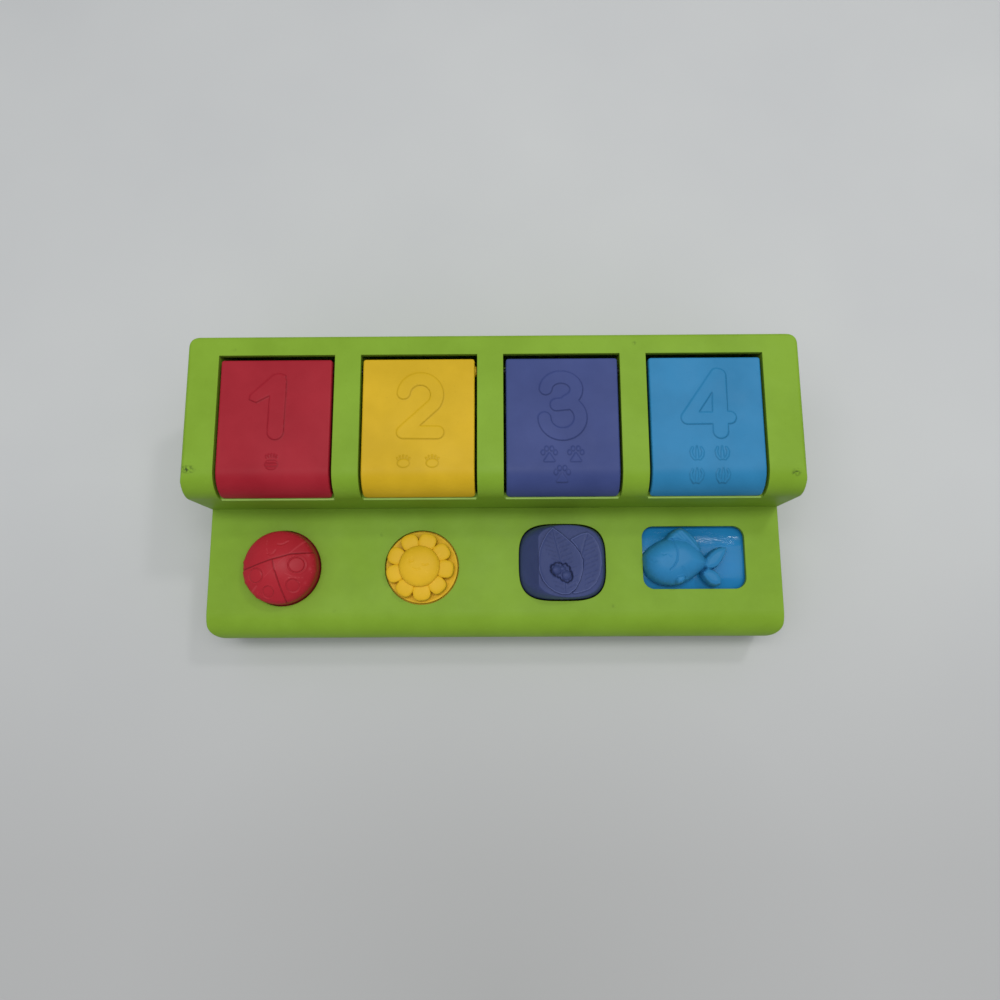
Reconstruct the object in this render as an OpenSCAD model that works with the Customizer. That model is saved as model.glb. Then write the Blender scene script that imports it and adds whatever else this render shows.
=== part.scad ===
// Pop-up animal toy: a stepped housing with four sprung lids and four controls.
// Millimetres. Origin at the middle of the footprint, on the table.
// +X runs to the right, +Y to the back, +Z up. The controls face -Y.

/* [Housing] */
// Width of the housing
body_w = 302; // [280:2:340]
// Depth of the tall box that holds the lids
box_depth = 80; // [74:1:88]
// Depth of the low ledge that holds the controls
ledge_depth = 68; // [67:1:76]
// Height of the lid deck above the table
box_h = 84; // [83:1:94]
// Height of the ledge above the table
ledge_h = 40; // [39.5:0.5:43]
// Wall thickness of the housing
wall = 2.6; // [2.2:0.1:2.8]
// Rounding along the top front edges of the box and the ledge
front_r = 13; // [10:0.5:14]
// Rounding along the top side and back edges
side_r = 2; // [1.5:0.5:4]
// Rounding of the upright corners
corner_r = 7; // [5:0.5:9]
// Thickness of the ribs beside the lids
rib_t = 2; // [1.6:0.2:2.4]
// Depth of the lid wells below the deck
rib_drop = 34; // [28:1:38]

/* [Base] */
// Height of the feet pads below the base plate
foot_h = 1.2; // [0.8:0.1:2]
// Thickness of the base plate
base_t = 2.5; // [2:0.1:3]
// Gap around the base plate inside the housing walls
base_gap = 0.3; // [0.2:0.05:0.5]
// Width of the front lip of the base plate
lip_w = 69; // [50:1:90]
// Middle of the front lip, to the right of the middle of the toy
lip_x = -4.5; // [-10:0.5:10]
// Size of the square feet pads
pad_w = 16; // [10:1:20]

/* [Screws] */
// Radius of the screw shanks
screw_r = 1.5; // [1.2:0.1:1.8]
// Radius of the screw heads
screw_head_r = 3.1; // [2.8:0.1:3.4]
// Height of the screw heads
screw_head_h = 2; // [1.6:0.1:2.2]
// Length of the screw shanks
screw_len = 13; // [10:1:16]
// Radius of the screw bosses
boss_r = 4; // [3.6:0.1:4.4]
// Distance from the outer corners to the screws
screw_inset = 8.5; // [8:0.5:10]

/* [Lids] */
// Width of the deck to the left of the first lid opening
left_bar = 15.8; // [15:0.2:18]
// Width of the deck to the right of the last lid opening
right_bar = 18.2; // [17:0.2:20]
// Width of the deck between two lid openings
mid_bar = 12.8; // [12:0.2:14]
// Depth of the rail behind the openings
back_rail = 10.1; // [9.5:0.1:11]
// Height that the openings run down the front of the box
lip_drop = 12.5; // [11:0.5:14]
// Gap on each side of a lid
lid_gap = 1.25; // [0.8:0.05:1.6]
// Gap behind a lid
lid_back_gap = 2.4; // [2.2:0.1:3]
// Gap under the front lip of a lid
lid_front_gap = 0.9; // [0.6:0.1:1.4]
// Thickness of a lid
lid_t = 2.4; // [2:0.1:2.6]
// Depth of the side flanges of a lid
flange_drop = 3.5; // [2.5:0.5:4]
// Height of the numerals and paw prints above a lid
relief_h = 0.5; // [0.3:0.1:0.8]
// Width of the strokes of the numerals
stroke_w = 6.2; // [5:0.1:7]

/* [Hinges] */
// Distance from the back edge of a lid to its hinge axis
hinge_in = 5; // [4.8:0.1:5.4]
// Distance from the top of a lid down to its hinge axis
hinge_drop = 5; // [4.9:0.1:5.4]
// Radius of the hinge pins
pin_r = 1.5; // [1.2:0.1:1.6]
// Radial clearance of a pin that turns in a hole
pin_play = 0.05; // [0.02:0.01:0.09]
// Radius of the lid ears around the pin
ear_r = 3.4; // [3:0.1:3.6]
// Width of a lid ear
ear_w = 4; // [3:0.5:5]
// Distance from the side of a lid to its ears
ear_in = 0.95; // [0.7:0.05:2]
// Wire radius of the lid springs
lid_wire_r = 0.35; // [0.25:0.05:0.35]

/* [Latches] */
// Travel of the latches that release the lids
latch_travel = 4; // [3.4:0.1:4.2]
// Overlap of a latch nose and a lid catch
bite = 1.9; // [1.5:0.1:2.2]
// Distance from the lid deck down to the underside of the latch noses
bite_drop = 18.7; // [17.5:0.1:19.5]
// Distance from the front of the box to the middle of the bite
bite_in = 11.3; // [11.2:0.1:12]
// Width of the latch fingers and lid catches
finger_w = 8; // [6:0.5:9]
// Thickness of the latch fingers
finger_t = 2.5; // [2:0.1:2.6]
// Thickness of the catch clips
clip_t = 1.6; // [1.2:0.1:1.8]
// Gap between parts that slide past each other
slide_gap = 0.3; // [0.25:0.05:0.4]
// Thickness of the latch plates
plate_t = 2.5; // [2:0.1:2.8]
// Width of the latch plates
plate_w = 25; // [24:0.5:26]
// Height of the latch plates above the base plate
plate_lift = 3.3; // [3:0.1:3.8]
// Wire radius of the latch springs
spring_wire_r = 0.4; // [0.3:0.05:0.5]
// Mean radius of the latch springs
spring_r = 2.4; // [2:0.1:2.8]
// Length of the latch springs at rest
spring_len = 11.2; // [10:0.2:12]

/* [Ladybug button] */
// Sideways place of the button from the middle of the red lid
bug_dx = -5; // [-6:0.5:0]
// Distance from the step to the middle of the button
bug_in = 31.6; // [31:0.1:33]
// Radius of the button hole
bug_hole_r = 20; // [19.5:0.1:20.5]
// Gap around the button
bug_gap = 0.7; // [0.5:0.05:1]
// Height of the round wall of the button above the ledge
bug_wall = 8.5; // [7.5:0.5:10]
// Height of the dome of the button
bug_dome = 6.5; // [5:0.5:8]
// Travel of the button
bug_travel = 6; // [5:0.1:6.5]
// Radius of the guide stem of the button
stem_r = 4; // [3.5:0.1:4.2]
// Wire radius of the button spring
bug_wire_r = 0.5; // [0.4:0.05:0.6]

/* [Flower dial] */
// Sideways place of the dial from the middle of the yellow lid
flower_dx = -2; // [-4:0.5:0]
// Distance from the step to the middle of the dial
flower_in = 31.5; // [31:0.1:33]
// Radius of the dial hole
flower_hole_r = 19.6; // [19:0.1:20]
// Gap around the dial
flower_gap = 0.7; // [0.5:0.05:1]
// Number of petals
petal_n = 9; // [7:1:10]
// Radius out to the tips of the petals
petal_tip = 17.3; // [16:0.1:18]
// Radius of a petal
petal_r = 4.5; // [4:0.1:4.8]
// Radius of the middle dome
heart_r = 11; // [10:0.1:12]
// Radius of the shaft of the dial
shaft_r = 3.5; // [3:0.1:3.8]
// Radius from the shaft to the crank peg
crank_r = 8.5; // [8.3:0.1:9]
// Radius of the crank peg
peg_r = 2; // [1.6:0.1:2.1]

/* [Leaf rocker] */
// Sideways place of the rocker from the middle of the indigo lid
leaf_dx = 2; // [0:0.5:3]
// Distance from the step to the middle of the rocker
leaf_in = 29.15; // [28.5:0.05:30.5]
// Width of the rocker window
leaf_w = 46.1; // [44:0.1:47]
// Depth of the rocker window
leaf_d = 40.8; // [39:0.1:42]
// Squareness of the rocker window, 2 is an ellipse
leaf_n = 3.4; // [3:0.1:4.5]
// Gap around the rocker
leaf_gap = 0.8; // [0.5:0.05:1]
// Distance from the ledge down to the rocker axis
rocker_drop = 7; // [6.5:0.1:8]
// Distance from the rocker axis up to its flat face
rocker_face = 14.5; // [13:0.5:16]
// Angle that the rocker face leans to either side
rocker_lean = 12; // [10:0.5:13]
// Length of the rocker arm to its round end
rocker_arm = 12; // [11.5:0.1:12.4]

/* [Fish slider] */
// Sideways place of the fish window from the middle of the blue lid
fish_dx = 1.3; // [0:0.1:2]
// Distance from the step to the middle of the fish window
fish_in = 26.9; // [26:0.1:28]
// How much nearer the sides of the fish window are than those of a lid opening
fish_in_w = 1.6; // [1.2:0.1:2.4]
// Depth of the fish window
fish_d = 33.2; // [32:0.1:34]
// Corner rounding of the fish window
fish_r = 6; // [4:0.5:8]
// Travel of the fish
fish_travel = 13; // [11:0.5:13]
// Thickness of the slider plate
slider_t = 2.4; // [2:0.1:2.6]
// Rise of the slider plate to its middle
slider_crown = 2.2; // [1.6:0.1:2.6]
// Height of the fish above the ledge
fish_h = 10; // [8:0.5:12]

/* [Figures] */
// Radius of the heads of the figures
head_r = 12; // [11:0.5:12.5]
// Radius of the bodies of the figures
belly_r = 12.5; // [11.5:0.5:13]

/* [Hidden] */
$fn = 64;

GREEN = "#7fa63c";
RED = "#a83440";
YELLOW = "#d4af35";
INDIGO = "#454e7b";
BLUE = "#3b7eb0";
WHITE = "#e6e3d8";
STEEL = "#b8bcc0";
GREY = "#8c9096";

// Overlap that makes two solids of one piece into one
bond = 0.2;
// Reach of a cut past the face that it opens
over = 1;

// Levels and edges of the housing
y_back = (box_depth + ledge_depth) / 2;
y_front = -y_back;
step_y = y_back - box_depth;
skirt_z = foot_h;
deck_z = skirt_z + base_t;
ceiling_z = box_h - wall;
ledge_under = ledge_h - wall;
front_in = step_y + wall;
opening_w = (body_w - left_bar - right_bar - 3 * mid_bar) / 4;
lane_pitch = opening_w + mid_bar;
function lane_x(i) = -body_w / 2 + left_bar + opening_w / 2 + lane_pitch * (i - 1);

// Lids and hinges
open_back = y_back - back_rail;
lid_back = open_back - lid_back_gap;
lid_w = opening_w - 2 * lid_gap;
lid_under = box_h - lid_t;
lid_low = box_h - lip_drop + lid_front_gap;
lid_corner_r = 1.5;
ear_x = lid_w / 2 - ear_w - ear_in;
hinge_y = lid_back - hinge_in;
hinge_z = box_h - hinge_drop;
rib_low = ceiling_z - rib_drop;
stop_y = hinge_y + ear_r - 0.8;
stop_top = hinge_z - 6.5;
stop_low = hinge_z - 21;

// Latches
bite_y = step_y + bite_in;
bite_z = box_h - bite_drop;
plate_z = deck_z + plate_lift;
plate_top = plate_z + plate_t;
bite_play = 0.5;
hook_h = 2.4;
spring_z = plate_top;
pad_t = 2;
pad_half = 4;
seat_h = 5.5;
window_half = 8.7;
guide_wall = 2;
guide_lip = 1.6;
guide_lip_h = 1.8;

// Controls
flange_t = 2.3;
flange_over = 1.5;
flange_top = ledge_under - slide_gap;
flange_low = flange_top - flange_t;
bug_x = lane_x(1) + bug_dx;
bug_y = step_y - bug_in;
flower_x = lane_x(2) + flower_dx;
flower_y = step_y - flower_in;
leaf_x = lane_x(3) + leaf_dx;
leaf_y = step_y - leaf_in;
fish_x = lane_x(4) + fish_dx;
fish_y = step_y - fish_in;
fish_w = opening_w - 2 * fish_in_w;
bug_r = bug_hole_r - bug_gap;
bug_skin = 2.2;
collar_r = stem_r + 5;
collar_low = deck_z + 27.5;
tube_wall = 1.2;
tube_top = deck_z + 20;
bug_coil_r = stem_r + pin_play + tube_wall + slide_gap + bug_wire_r + 0.6;
disc_r = flower_hole_r - flower_gap;
crank_half = asin(latch_travel / (2 * crank_r));
bearing_top = deck_z + 16;
bridge_z = bearing_top + 3.3;
peg_low = bridge_z + bond + slide_gap;
rocker_z = ledge_h - rocker_drop;
peg_round_r = 2.5;
fork_z = rocker_z - rocker_arm * cos(rocker_lean);
rocker_travel = 2 * rocker_arm * sin(rocker_lean);
slider_edge_top = ledge_under - slide_gap - slider_crown;
slider_low = slider_edge_top - slider_t;
slider_half = fish_d / 2 + 3;
slider_left = fish_x - fish_w / 2 - fish_travel - 2;
slider_right = fish_x + fish_w / 2 + 1.6;
fish_low = ledge_h + 0.6;
fish_top = ledge_h + fish_h;
rail_left = slider_left + fish_travel - 1;
rail_right = body_w / 2 - wall - 1.5;
spring_post_t = 3;
lug_t = 2.5;
lug_x = fish_x + 3;
fish_post_x = rail_right - spring_post_t - 5;
fish_spring_z = slider_low - 6;
fish_spring_len = fish_post_x - lug_x - lug_t;

// ---- 2D helpers ----

// The sliver outside a fillet of radius r at one corner; sx and sy point into the shape
module corner_sliver(x, y, sx, sy, r) {
    if (r > 0)
        difference() {
            translate([sx > 0 ? x - over : x - r, sy > 0 ? y - over : y - r])
                square(r + over);
            translate([x + sx * r, y + sy * r])
                circle(r);
        }
}

// Rectangle from (x0, y0) to (x1, y1) with a fillet at each corner:
// radii run low left, low right, high right, high left
module fillet_rect(x0, y0, x1, y1, radii) {
    difference() {
        translate([x0, y0])
            square([x1 - x0, y1 - y0]);
        corner_sliver(x0, y0, 1, 1, radii[0]);
        corner_sliver(x1, y0, -1, 1, radii[1]);
        corner_sliver(x1, y1, -1, -1, radii[2]);
        corner_sliver(x0, y1, 1, -1, radii[3]);
    }
}

// Straight stroke with round ends
module stroke(a, b, w) {
    run = b - a;
    translate(a)
        rotate(atan2(run[1], run[0]))
            translate([0, -w / 2])
                square([norm(run), w]);
    translate(a)
        circle(w / 2);
    translate(b)
        circle(w / 2);
}

// Round stroke about c with round ends, from angle a0 on through the angle sweep
module arc_stroke(c, r, w, a0, sweep) {
    reach = 2 * (r + w);
    corners = [for (k = [0:4]) reach * [cos(a0 + sweep * k / 4), sin(a0 + sweep * k / 4)]];
    translate(c)
        intersection() {
            difference() {
                circle(r + w / 2);
                circle(r - w / 2);
            }
            polygon(concat([[0, 0]], corners));
        }
    for (a = [a0, a0 + sweep])
        translate(c + r * [cos(a), sin(a)])
            circle(w / 2 - 0.06);
}

// Pointed leaf shape between two points
module leaf_2d(a, b, w) {
    run = b - a;
    half = norm(run) / 2;
    r = (half * half + w * w / 4) / w;
    translate((a + b) / 2)
        rotate(atan2(run[1], run[0]))
            intersection() {
                translate([0, r - w / 2])
                    circle(r, $fn = 96);
                translate([0, w / 2 - r])
                    circle(r, $fn = 96);
            }
}

// Half width of a rounded square of half sizes a and b at the place y
function squircle(a, b, n, y) = a * pow(max(0, 1 - pow(abs(y) / b, n)), 1 / n);

// Outline of a rounded square of half sizes a and b
function squircle_outline(a, b, n) = [
    for (t = [0:5:355])
        [a * sign(cos(t)) * pow(abs(cos(t)), 2 / n), b * sign(sin(t)) * pow(abs(sin(t)), 2 / n)]
];

// ---- 3D helpers ----

// Extrudes a (Y, Z) profile along X
module along_x(x0, x1) {
    translate([x0, 0, 0])
        rotate([90, 0, 90])
            linear_extrude(x1 - x0)
                children();
}

// Extrudes an (X, Z) profile along Y
module along_y(y0, y1) {
    translate([0, y1, 0])
        rotate([90, 0, 0])
            linear_extrude(y1 - y0)
                children();
}

// Block between two corners
module block(low, high) {
    translate(low)
        cube(high - low);
}

// Round bar along X, Y or Z from a point
module bar_x(p, r, len) {
    translate(p)
        rotate([0, 90, 0])
            cylinder(r = r, h = len);
}

module bar_y(p, r, len) {
    translate(p)
        rotate([-90, 0, 0])
            cylinder(r = r, h = len);
}

module bar_z(p, r, len) {
    translate(p)
        cylinder(r = r, h = len);
}

// Stepped form of the housing, drawn in by inset all round, from z_low up
module stepped_form(inset, z_low) {
    half = body_w / 2 - inset;
    top_r = side_r - min(inset, side_r - 1);
    plan_r = corner_r - inset;
    nose_r = front_r - inset;
    intersection() {
        union() {
            along_x(-half, half)
                fillet_rect(step_y + inset, z_low, y_back - inset, box_h - inset,
                            [0, 0, top_r, nose_r]);
            along_x(-half, half)
                fillet_rect(y_front + inset, z_low, y_back - inset, ledge_h - inset,
                            [0, 0, 0, nose_r]);
        }
        union() {
            along_y(y_front, y_back)
                fillet_rect(-half, z_low, half, box_h - inset, [0, 0, top_r, top_r]);
        }
        linear_extrude(box_h)
            fillet_rect(-half, y_front + inset, half, y_back - inset,
                        [plan_r, plan_r, plan_r, plan_r]);
    }
}

// Wire of radius r along a path, as a closed tube with six sides
module wire(path, r) {
    sides = 6;
    last = len(path) - 1;
    rings = [
        for (i = [0:last])
            let (
                d = path[min(i + 1, last)] - path[max(i - 1, 0)],
                t = d / norm(d),
                helper = abs(t[0]) < 0.8 ? [1, 0, 0] : [0, 1, 0],
                u = cross(t, helper) / norm(cross(t, helper)),
                v = cross(t, u)
            )
            for (k = [0:sides - 1])
                path[i] + r * cos(360 * k / sides) * u + r * sin(360 * k / sides) * v
    ];
    skin = [
        for (i = [0:last - 1], k = [0:sides - 1])
            let (m = (k + 1) % sides)
            [i * sides + k, i * sides + m, (i + 1) * sides + m, (i + 1) * sides + k]
    ];
    caps = [[for (k = [sides - 1:-1:0]) k], [for (k = [0:sides - 1]) last * sides + k]];
    polyhedron(rings, concat(skin, caps), convexity = 6);
}

// Coil along Z from the origin
function coil(r, h, turns, steps = 12) = [
    for (i = [0:turns * steps])
        [r * cos(360 * i / steps), r * sin(360 * i / steps), h * i / (turns * steps)]
];

// Compression spring that fills the length len along Z
module compression_spring(mean_r, wire_r, len, turns) {
    translate([0, 0, wire_r])
        wire(coil(mean_r, len - 2 * wire_r, turns), wire_r);
}

// ---- Housing ----

// Opening of lane i through the deck and down the rounded front
module lid_opening(i) {
    block([lane_x(i) - opening_w / 2, y_front, box_h - lip_drop],
          [lane_x(i) + opening_w / 2, open_back, box_h + over]);
}

// The two ribs beside lane i, joined by the stop that the open lid meets
module lid_well(i) {
    for (side = [-1, 1]) {
        mid_x = lane_x(i) + side * (opening_w + rib_t) / 2;
        along_x(mid_x - rib_t / 2, mid_x + rib_t / 2)
            fillet_rect(front_in - bond, rib_low, y_back - wall + bond, ceiling_z + bond,
                        [0, 0, 0, front_r - wall + bond]);
    }
    block([lane_x(i) - opening_w / 2 - bond, stop_y, stop_low],
          [lane_x(i) + opening_w / 2 + bond, stop_y + rib_t, stop_top]);
}

// Places of the case screws
box_screw_y = y_back - screw_inset;
ledge_screw_y = y_front + screw_inset + 2;
screw_places = [
    for (x = [-body_w / 2 + screw_inset, (lane_x(2) + lane_x(3)) / 2, body_w / 2 - screw_inset])
        for (y = [ledge_screw_y, box_screw_y])
            [x, y]
];
socket_top = deck_z + 3.3;

function boss_top(y) = y > step_y ? ceiling_z + bond : ledge_under - 0.9;

module rocker_lugs() {
    lug_half = 4;
    for (side = [-1, 1])
        block([leaf_x - lug_half, leaf_y + side * (leaf_d / 2 + 1.6) - 1.4, rocker_z - lug_half],
              [leaf_x + lug_half, leaf_y + side * (leaf_d / 2 + 1.6) + 1.4, ledge_under + bond]);
}

module top_housing() {
    color(GREEN)
        difference() {
            union() {
                difference() {
                    stepped_form(0, skirt_z);
                    stepped_form(wall, skirt_z - over);
                    for (i = [1:4])
                        lid_opening(i);
                    bar_z([bug_x, bug_y, ledge_under - over], bug_hole_r, wall + 2 * over);
                    bar_z([flower_x, flower_y, ledge_under - over], flower_hole_r, wall + 2 * over);
                    translate([leaf_x, leaf_y, ledge_under - over])
                        linear_extrude(wall + 2 * over)
                            polygon(squircle_outline(leaf_w / 2, leaf_d / 2, leaf_n));
                    translate([fish_x, fish_y, ledge_under - over])
                        linear_extrude(wall + 2 * over)
                            fillet_rect(-fish_w / 2, -fish_d / 2, fish_w / 2, fish_d / 2,
                                        [fish_r, fish_r, fish_r, fish_r]);
                }
                for (i = [1:4])
                    lid_well(i);
                for (p = screw_places)
                    bar_z([p[0], p[1], socket_top], boss_r, boss_top(p[1]) - socket_top);
                rocker_lugs();
            }
            for (i = [1:4])
                bar_x([lane_x(i) - opening_w / 2 - rib_t - over, hinge_y, hinge_z],
                      pin_r, opening_w + 2 * (rib_t + over));
            bar_y([leaf_x, leaf_y - leaf_d / 2 - 2 * over - rib_t, rocker_z],
                  pin_r, leaf_d + 4 * over + 2 * rib_t);
            for (p = screw_places)
                bar_z([p[0], p[1], socket_top - over], screw_r, screw_len + over);
        }
}

// ---- Base plate ----

// Two rails that carry the edges of a plate of width w and hold it down.
// The plate slides along Y through the stretch from y0 to y1.
module guide(w, y0, y1) {
    for (side = [-1, 1])
        mirror([side < 0 ? 1 : 0, 0, 0])
            along_y(y0, y1)
                polygon([
                    [w / 2 - guide_lip, deck_z - bond],
                    [w / 2 + slide_gap + guide_wall, deck_z - bond],
                    [w / 2 + slide_gap + guide_wall, plate_top + slide_gap + guide_lip_h],
                    [w / 2 - guide_lip, plate_top + slide_gap + guide_lip_h],
                    [w / 2 - guide_lip, plate_top + slide_gap],
                    [w / 2 + slide_gap, plate_top + slide_gap],
                    [w / 2 + slide_gap, plate_z - slide_gap],
                    [w / 2 - guide_lip, plate_z - slide_gap]
                ]);
}

// Front of the plates that slide along Y
function plate_front(cy) = cy - window_half - 8.2;

// Length of such a plate ahead of its window: the leg of the button comes down behind it
plate_head = 7;

// Guides and spring stop for a latch that slides along Y under the control at (cx, cy)
module latch_bed(cx, cy) {
    translate([cx, 0, 0]) {
        guide(plate_w, plate_front(cy) + 1.5, plate_front(cy) + 7);
        guide(plate_w, cy + window_half + 7, cy + window_half + 16);
    }
    block([cx - pad_half, plate_front(cy) - spring_len - pad_t, deck_z - bond],
          [cx + pad_half, plate_front(cy) - spring_len, plate_z + seat_h]);
}

rocker_plate_front = leaf_y - 12;
rocker_plate_back = bite_y + finger_w / 2;
rocker_spring_y = leaf_y + 15;

// Guides and spring stop for the rocker latch, which slides along X
module rocker_bed() {
    mid_y = (rocker_plate_front + rocker_plate_back) / 2;
    translate([leaf_x, mid_y, 0])
        rotate(-90)
            guide(rocker_plate_back - rocker_plate_front, -plate_w / 2 + 1.5, plate_w / 2 + 1);
    block([leaf_x + plate_w / 2 + spring_len, rocker_spring_y - pad_half, deck_z - bond],
          [leaf_x + plate_w / 2 + spring_len + pad_t, rocker_spring_y + pad_half,
           plate_z + seat_h]);
}

tongue_half = 7;

// Rails that carry the fish slider, with cheeks that keep it in line
module fish_rails() {
    rail_top = slider_low - slide_gap;
    cheek_top = ledge_under - slide_gap;
    for (side = [-1, 1]) {
        inner = slider_half - 2;
        outer = slider_half + slide_gap;
        y_mid = fish_y + side * (inner + outer + guide_wall) / 2;
        half = (outer + guide_wall - inner) / 2;
        block([rail_left, y_mid - half, deck_z - bond], [rail_right, y_mid + half, rail_top]);
    }
    cheek_y = fish_y - slider_half - slide_gap;
    block([rail_left, cheek_y - guide_wall, rail_top - bond], [rail_right, cheek_y, cheek_top]);
    back_y = fish_y + slider_half + slide_gap;
    block([rail_left, back_y, rail_top - bond],
          [lane_x(4) - tongue_half - 2, back_y + guide_wall, cheek_top]);
    block([lane_x(4) + tongue_half + fish_travel + 2, back_y, rail_top - bond],
          [rail_right, back_y + guide_wall, cheek_top]);
    block([fish_post_x, fish_y - pad_half, deck_z - bond],
          [fish_post_x + spring_post_t, fish_y + pad_half, fish_spring_z + pad_half]);
}

module feet_pads() {
    half = body_w / 2 - wall - base_gap - pad_w / 2 - 4;
    for (x = [-half, half])
        for (y = [y_front + wall + pad_w, y_back - wall - pad_w])
            block([x - pad_w / 2, y - pad_w / 2, 0], [x + pad_w / 2, y + pad_w / 2, skirt_z + bond]);
    block([lip_x - lip_w / 2, y_front + 0.3, 0], [lip_x + lip_w / 2, y_front + wall + base_gap, skirt_z]);
    block([lip_x - lip_w / 2, y_front + wall + base_gap - bond, 0],
          [lip_x + lip_w / 2, y_front + wall + 8, skirt_z + bond]);
}

module base_plate() {
    edge = wall + base_gap;
    plan_r = corner_r - edge;
    color(GREEN)
        difference() {
            union() {
                translate([0, 0, skirt_z])
                    linear_extrude(base_t)
                        fillet_rect(-body_w / 2 + edge, y_front + edge, body_w / 2 - edge,
                                    y_back - edge, [plan_r, plan_r, plan_r, plan_r]);
                feet_pads();
                for (p = screw_places)
                    bar_z([p[0], p[1], deck_z - bond], screw_head_r + 2, socket_top - deck_z + bond);
                latch_bed(bug_x, bug_y);
                latch_bed(flower_x, flower_y);
                rocker_bed();
                fish_rails();
                bar_z([bug_x, bug_y, deck_z - bond], stem_r + pin_play + tube_wall,
                      tube_top - deck_z + bond);
                bar_z([flower_x, flower_y, deck_z - bond], shaft_r + pin_play + 2,
                      bearing_top - deck_z + bond);
            }
            for (p = screw_places) {
                bar_z([p[0], p[1], -over], screw_head_r + base_gap, skirt_z + 3.5 + over);
                bar_z([p[0], p[1], -over], screw_r + 0.1, socket_top + 2 * over);
            }
            bar_z([bug_x, bug_y, deck_z], stem_r + pin_play, tube_top);
            bar_z([flower_x, flower_y, deck_z], shaft_r + pin_play, bearing_top);
        }
}

module case_screws() {
    seat = skirt_z + 3.5;
    color(STEEL)
        for (p = screw_places)
            difference() {
                union() {
                    bar_z([p[0], p[1], seat - screw_head_h], screw_head_r, screw_head_h);
                    bar_z([p[0], p[1], seat - bond], screw_r, screw_len - 1 + bond);
                }
                for (a = [0, 90])
                    translate([p[0], p[1], seat - screw_head_h - over])
                        rotate(a)
                            translate([-0.5, -1.8, 0])
                                cube([1, 3.6, over + 1]);
            }
}

// ---- Lids ----

// Numerals, centred on the numeral field
module numeral_one() {
    stroke([-0.5, -13.5], [1.2, 13.4], stroke_w);
    stroke([-8, 6.9], [0.4, 13.8], stroke_w * 0.75);
}

module numeral_two() {
    arc_stroke([0.2, 6.2], 8.6, stroke_w, -40, 215);
    stroke([6.8, 0.7], [-8, -12.2], stroke_w);
    stroke([-8, -13], [8.6, -13], stroke_w);
}

module numeral_three() {
    arc_stroke([0, 7], 7.4, stroke_w, -75, 235);
    arc_stroke([0.4, -6.4], 8.2, stroke_w, -170, 245);
    stroke([-1.2, 0.6], [2, 0.6], stroke_w * 0.9);
}

module numeral_four() {
    stroke([1.4, 13.2], [-9.5, -6.4], stroke_w);
    stroke([-8.4, -6.9], [9.5, -6.9], stroke_w * 0.9);
    stroke([3.5, 13.8], [3.5, -14], stroke_w);
}

module numeral(i) {
    if (i == 1)
        numeral_one();
    if (i == 2)
        numeral_two();
    if (i == 3)
        numeral_three();
    if (i == 4)
        numeral_four();
}

// Places of the paw prints of lane i, from the middle of the lid
function print_places(i) =
    i == 1 ? [[-0.5, 0]]
    : i == 2 ? [[-6.8, -1.1], [7.1, -1.1]]
    : i == 3 ? [[-6.7, 1.2], [6.1, 1.2], [-1.1, -8.3]]
    : [[-5.8, 3.1], [6.1, 3.1], [-5.8, -7.3], [6.1, -7.3]];

// A round pad with four toes
module paw_2d() {
    translate([0, -0.8])
        circle(2.1);
    for (a = [-54, -18, 18, 54])
        translate([3.1 * sin(a), 3.1 * cos(a) - 0.6])
            circle(0.7);
}

numeral_y = (step_y + lid_back) / 2 + 9.7;
print_y = step_y + 17;

// Numeral and prints, raised evenly over the flat and the rounded front of the lid
module lid_relief(i) {
    sunk = lid_t / 2;
    intersection() {
        translate([lane_x(i), 0, lid_low])
            linear_extrude(box_h - lid_low + relief_h + over) {
                translate([0, numeral_y])
                    numeral(i);
                for (p = print_places(i))
                    translate([p[0], print_y + p[1]])
                        paw_2d();
            }
        along_x(lane_x(i) - lid_w / 2, lane_x(i) + lid_w / 2)
            difference() {
                fillet_rect(step_y - relief_h, lid_low, lid_back, box_h + relief_h,
                            [0, 0, 0, front_r + relief_h]);
                fillet_rect(step_y + sunk, lid_low - over, lid_back + over, box_h - sunk,
                            [0, 0, 0, front_r - sunk]);
            }
    }
}

module lid_profile(t) {
    difference() {
        fillet_rect(step_y, lid_low, lid_back, box_h, [0, 0, 0, front_r]);
        fillet_rect(step_y + t, lid_low - over, lid_back + over, box_h - t,
                    [0, 0, 0, max(front_r - t, 1)]);
    }
}

// Pegs under a lid that carry its catch clip, as places in the bite frame
stake_r = 0.9;
function stake_places() = [for (side = [-1, 1]) [-bite / 2 - bite_play - clip_t - 4, side * 2.4]];

module lid(i, hue) {
    x = lane_x(i);
    color(hue)
        difference() {
            union() {
                intersection() {
                    union() {
                        along_x(x - lid_w / 2, x + lid_w / 2)
                            lid_profile(lid_t);
                        for (side = [-1, 1])
                            along_x(x + side * (lid_w / 2 - 1) - 1, x + side * (lid_w / 2 - 1) + 1)
                                lid_profile(lid_t + flange_drop);
                    }
                    linear_extrude(box_h + over)
                        fillet_rect(x - lid_w / 2, y_front, x + lid_w / 2, lid_back,
                                    [0, 0, lid_corner_r, lid_corner_r]);
                    along_y(y_front, y_back)
                        fillet_rect(x - lid_w / 2, lid_low, x + lid_w / 2, box_h,
                                    [lid_corner_r, lid_corner_r, 0, 0]);
                }
                lid_relief(i);
                for (side = [-1, 1]) {
                    ear_left = x + side * (ear_x + ear_w / 2) - ear_w / 2;
                    bar_x([ear_left, hinge_y, hinge_z], ear_r, ear_w);
                    block([ear_left, hinge_y - ear_r, hinge_z],
                          [ear_left + ear_w, hinge_y + ear_r, lid_under + bond]);
                }
                at_bite(i)
                    for (p = stake_places())
                        bar_z([p[0], p[1], lid_under - clip_t], stake_r, clip_t + bond);
            }
            bar_x([x - lid_w / 2 - over, hinge_y, hinge_z], pin_r + pin_play, lid_w + 2 * over);
        }
}

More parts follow.
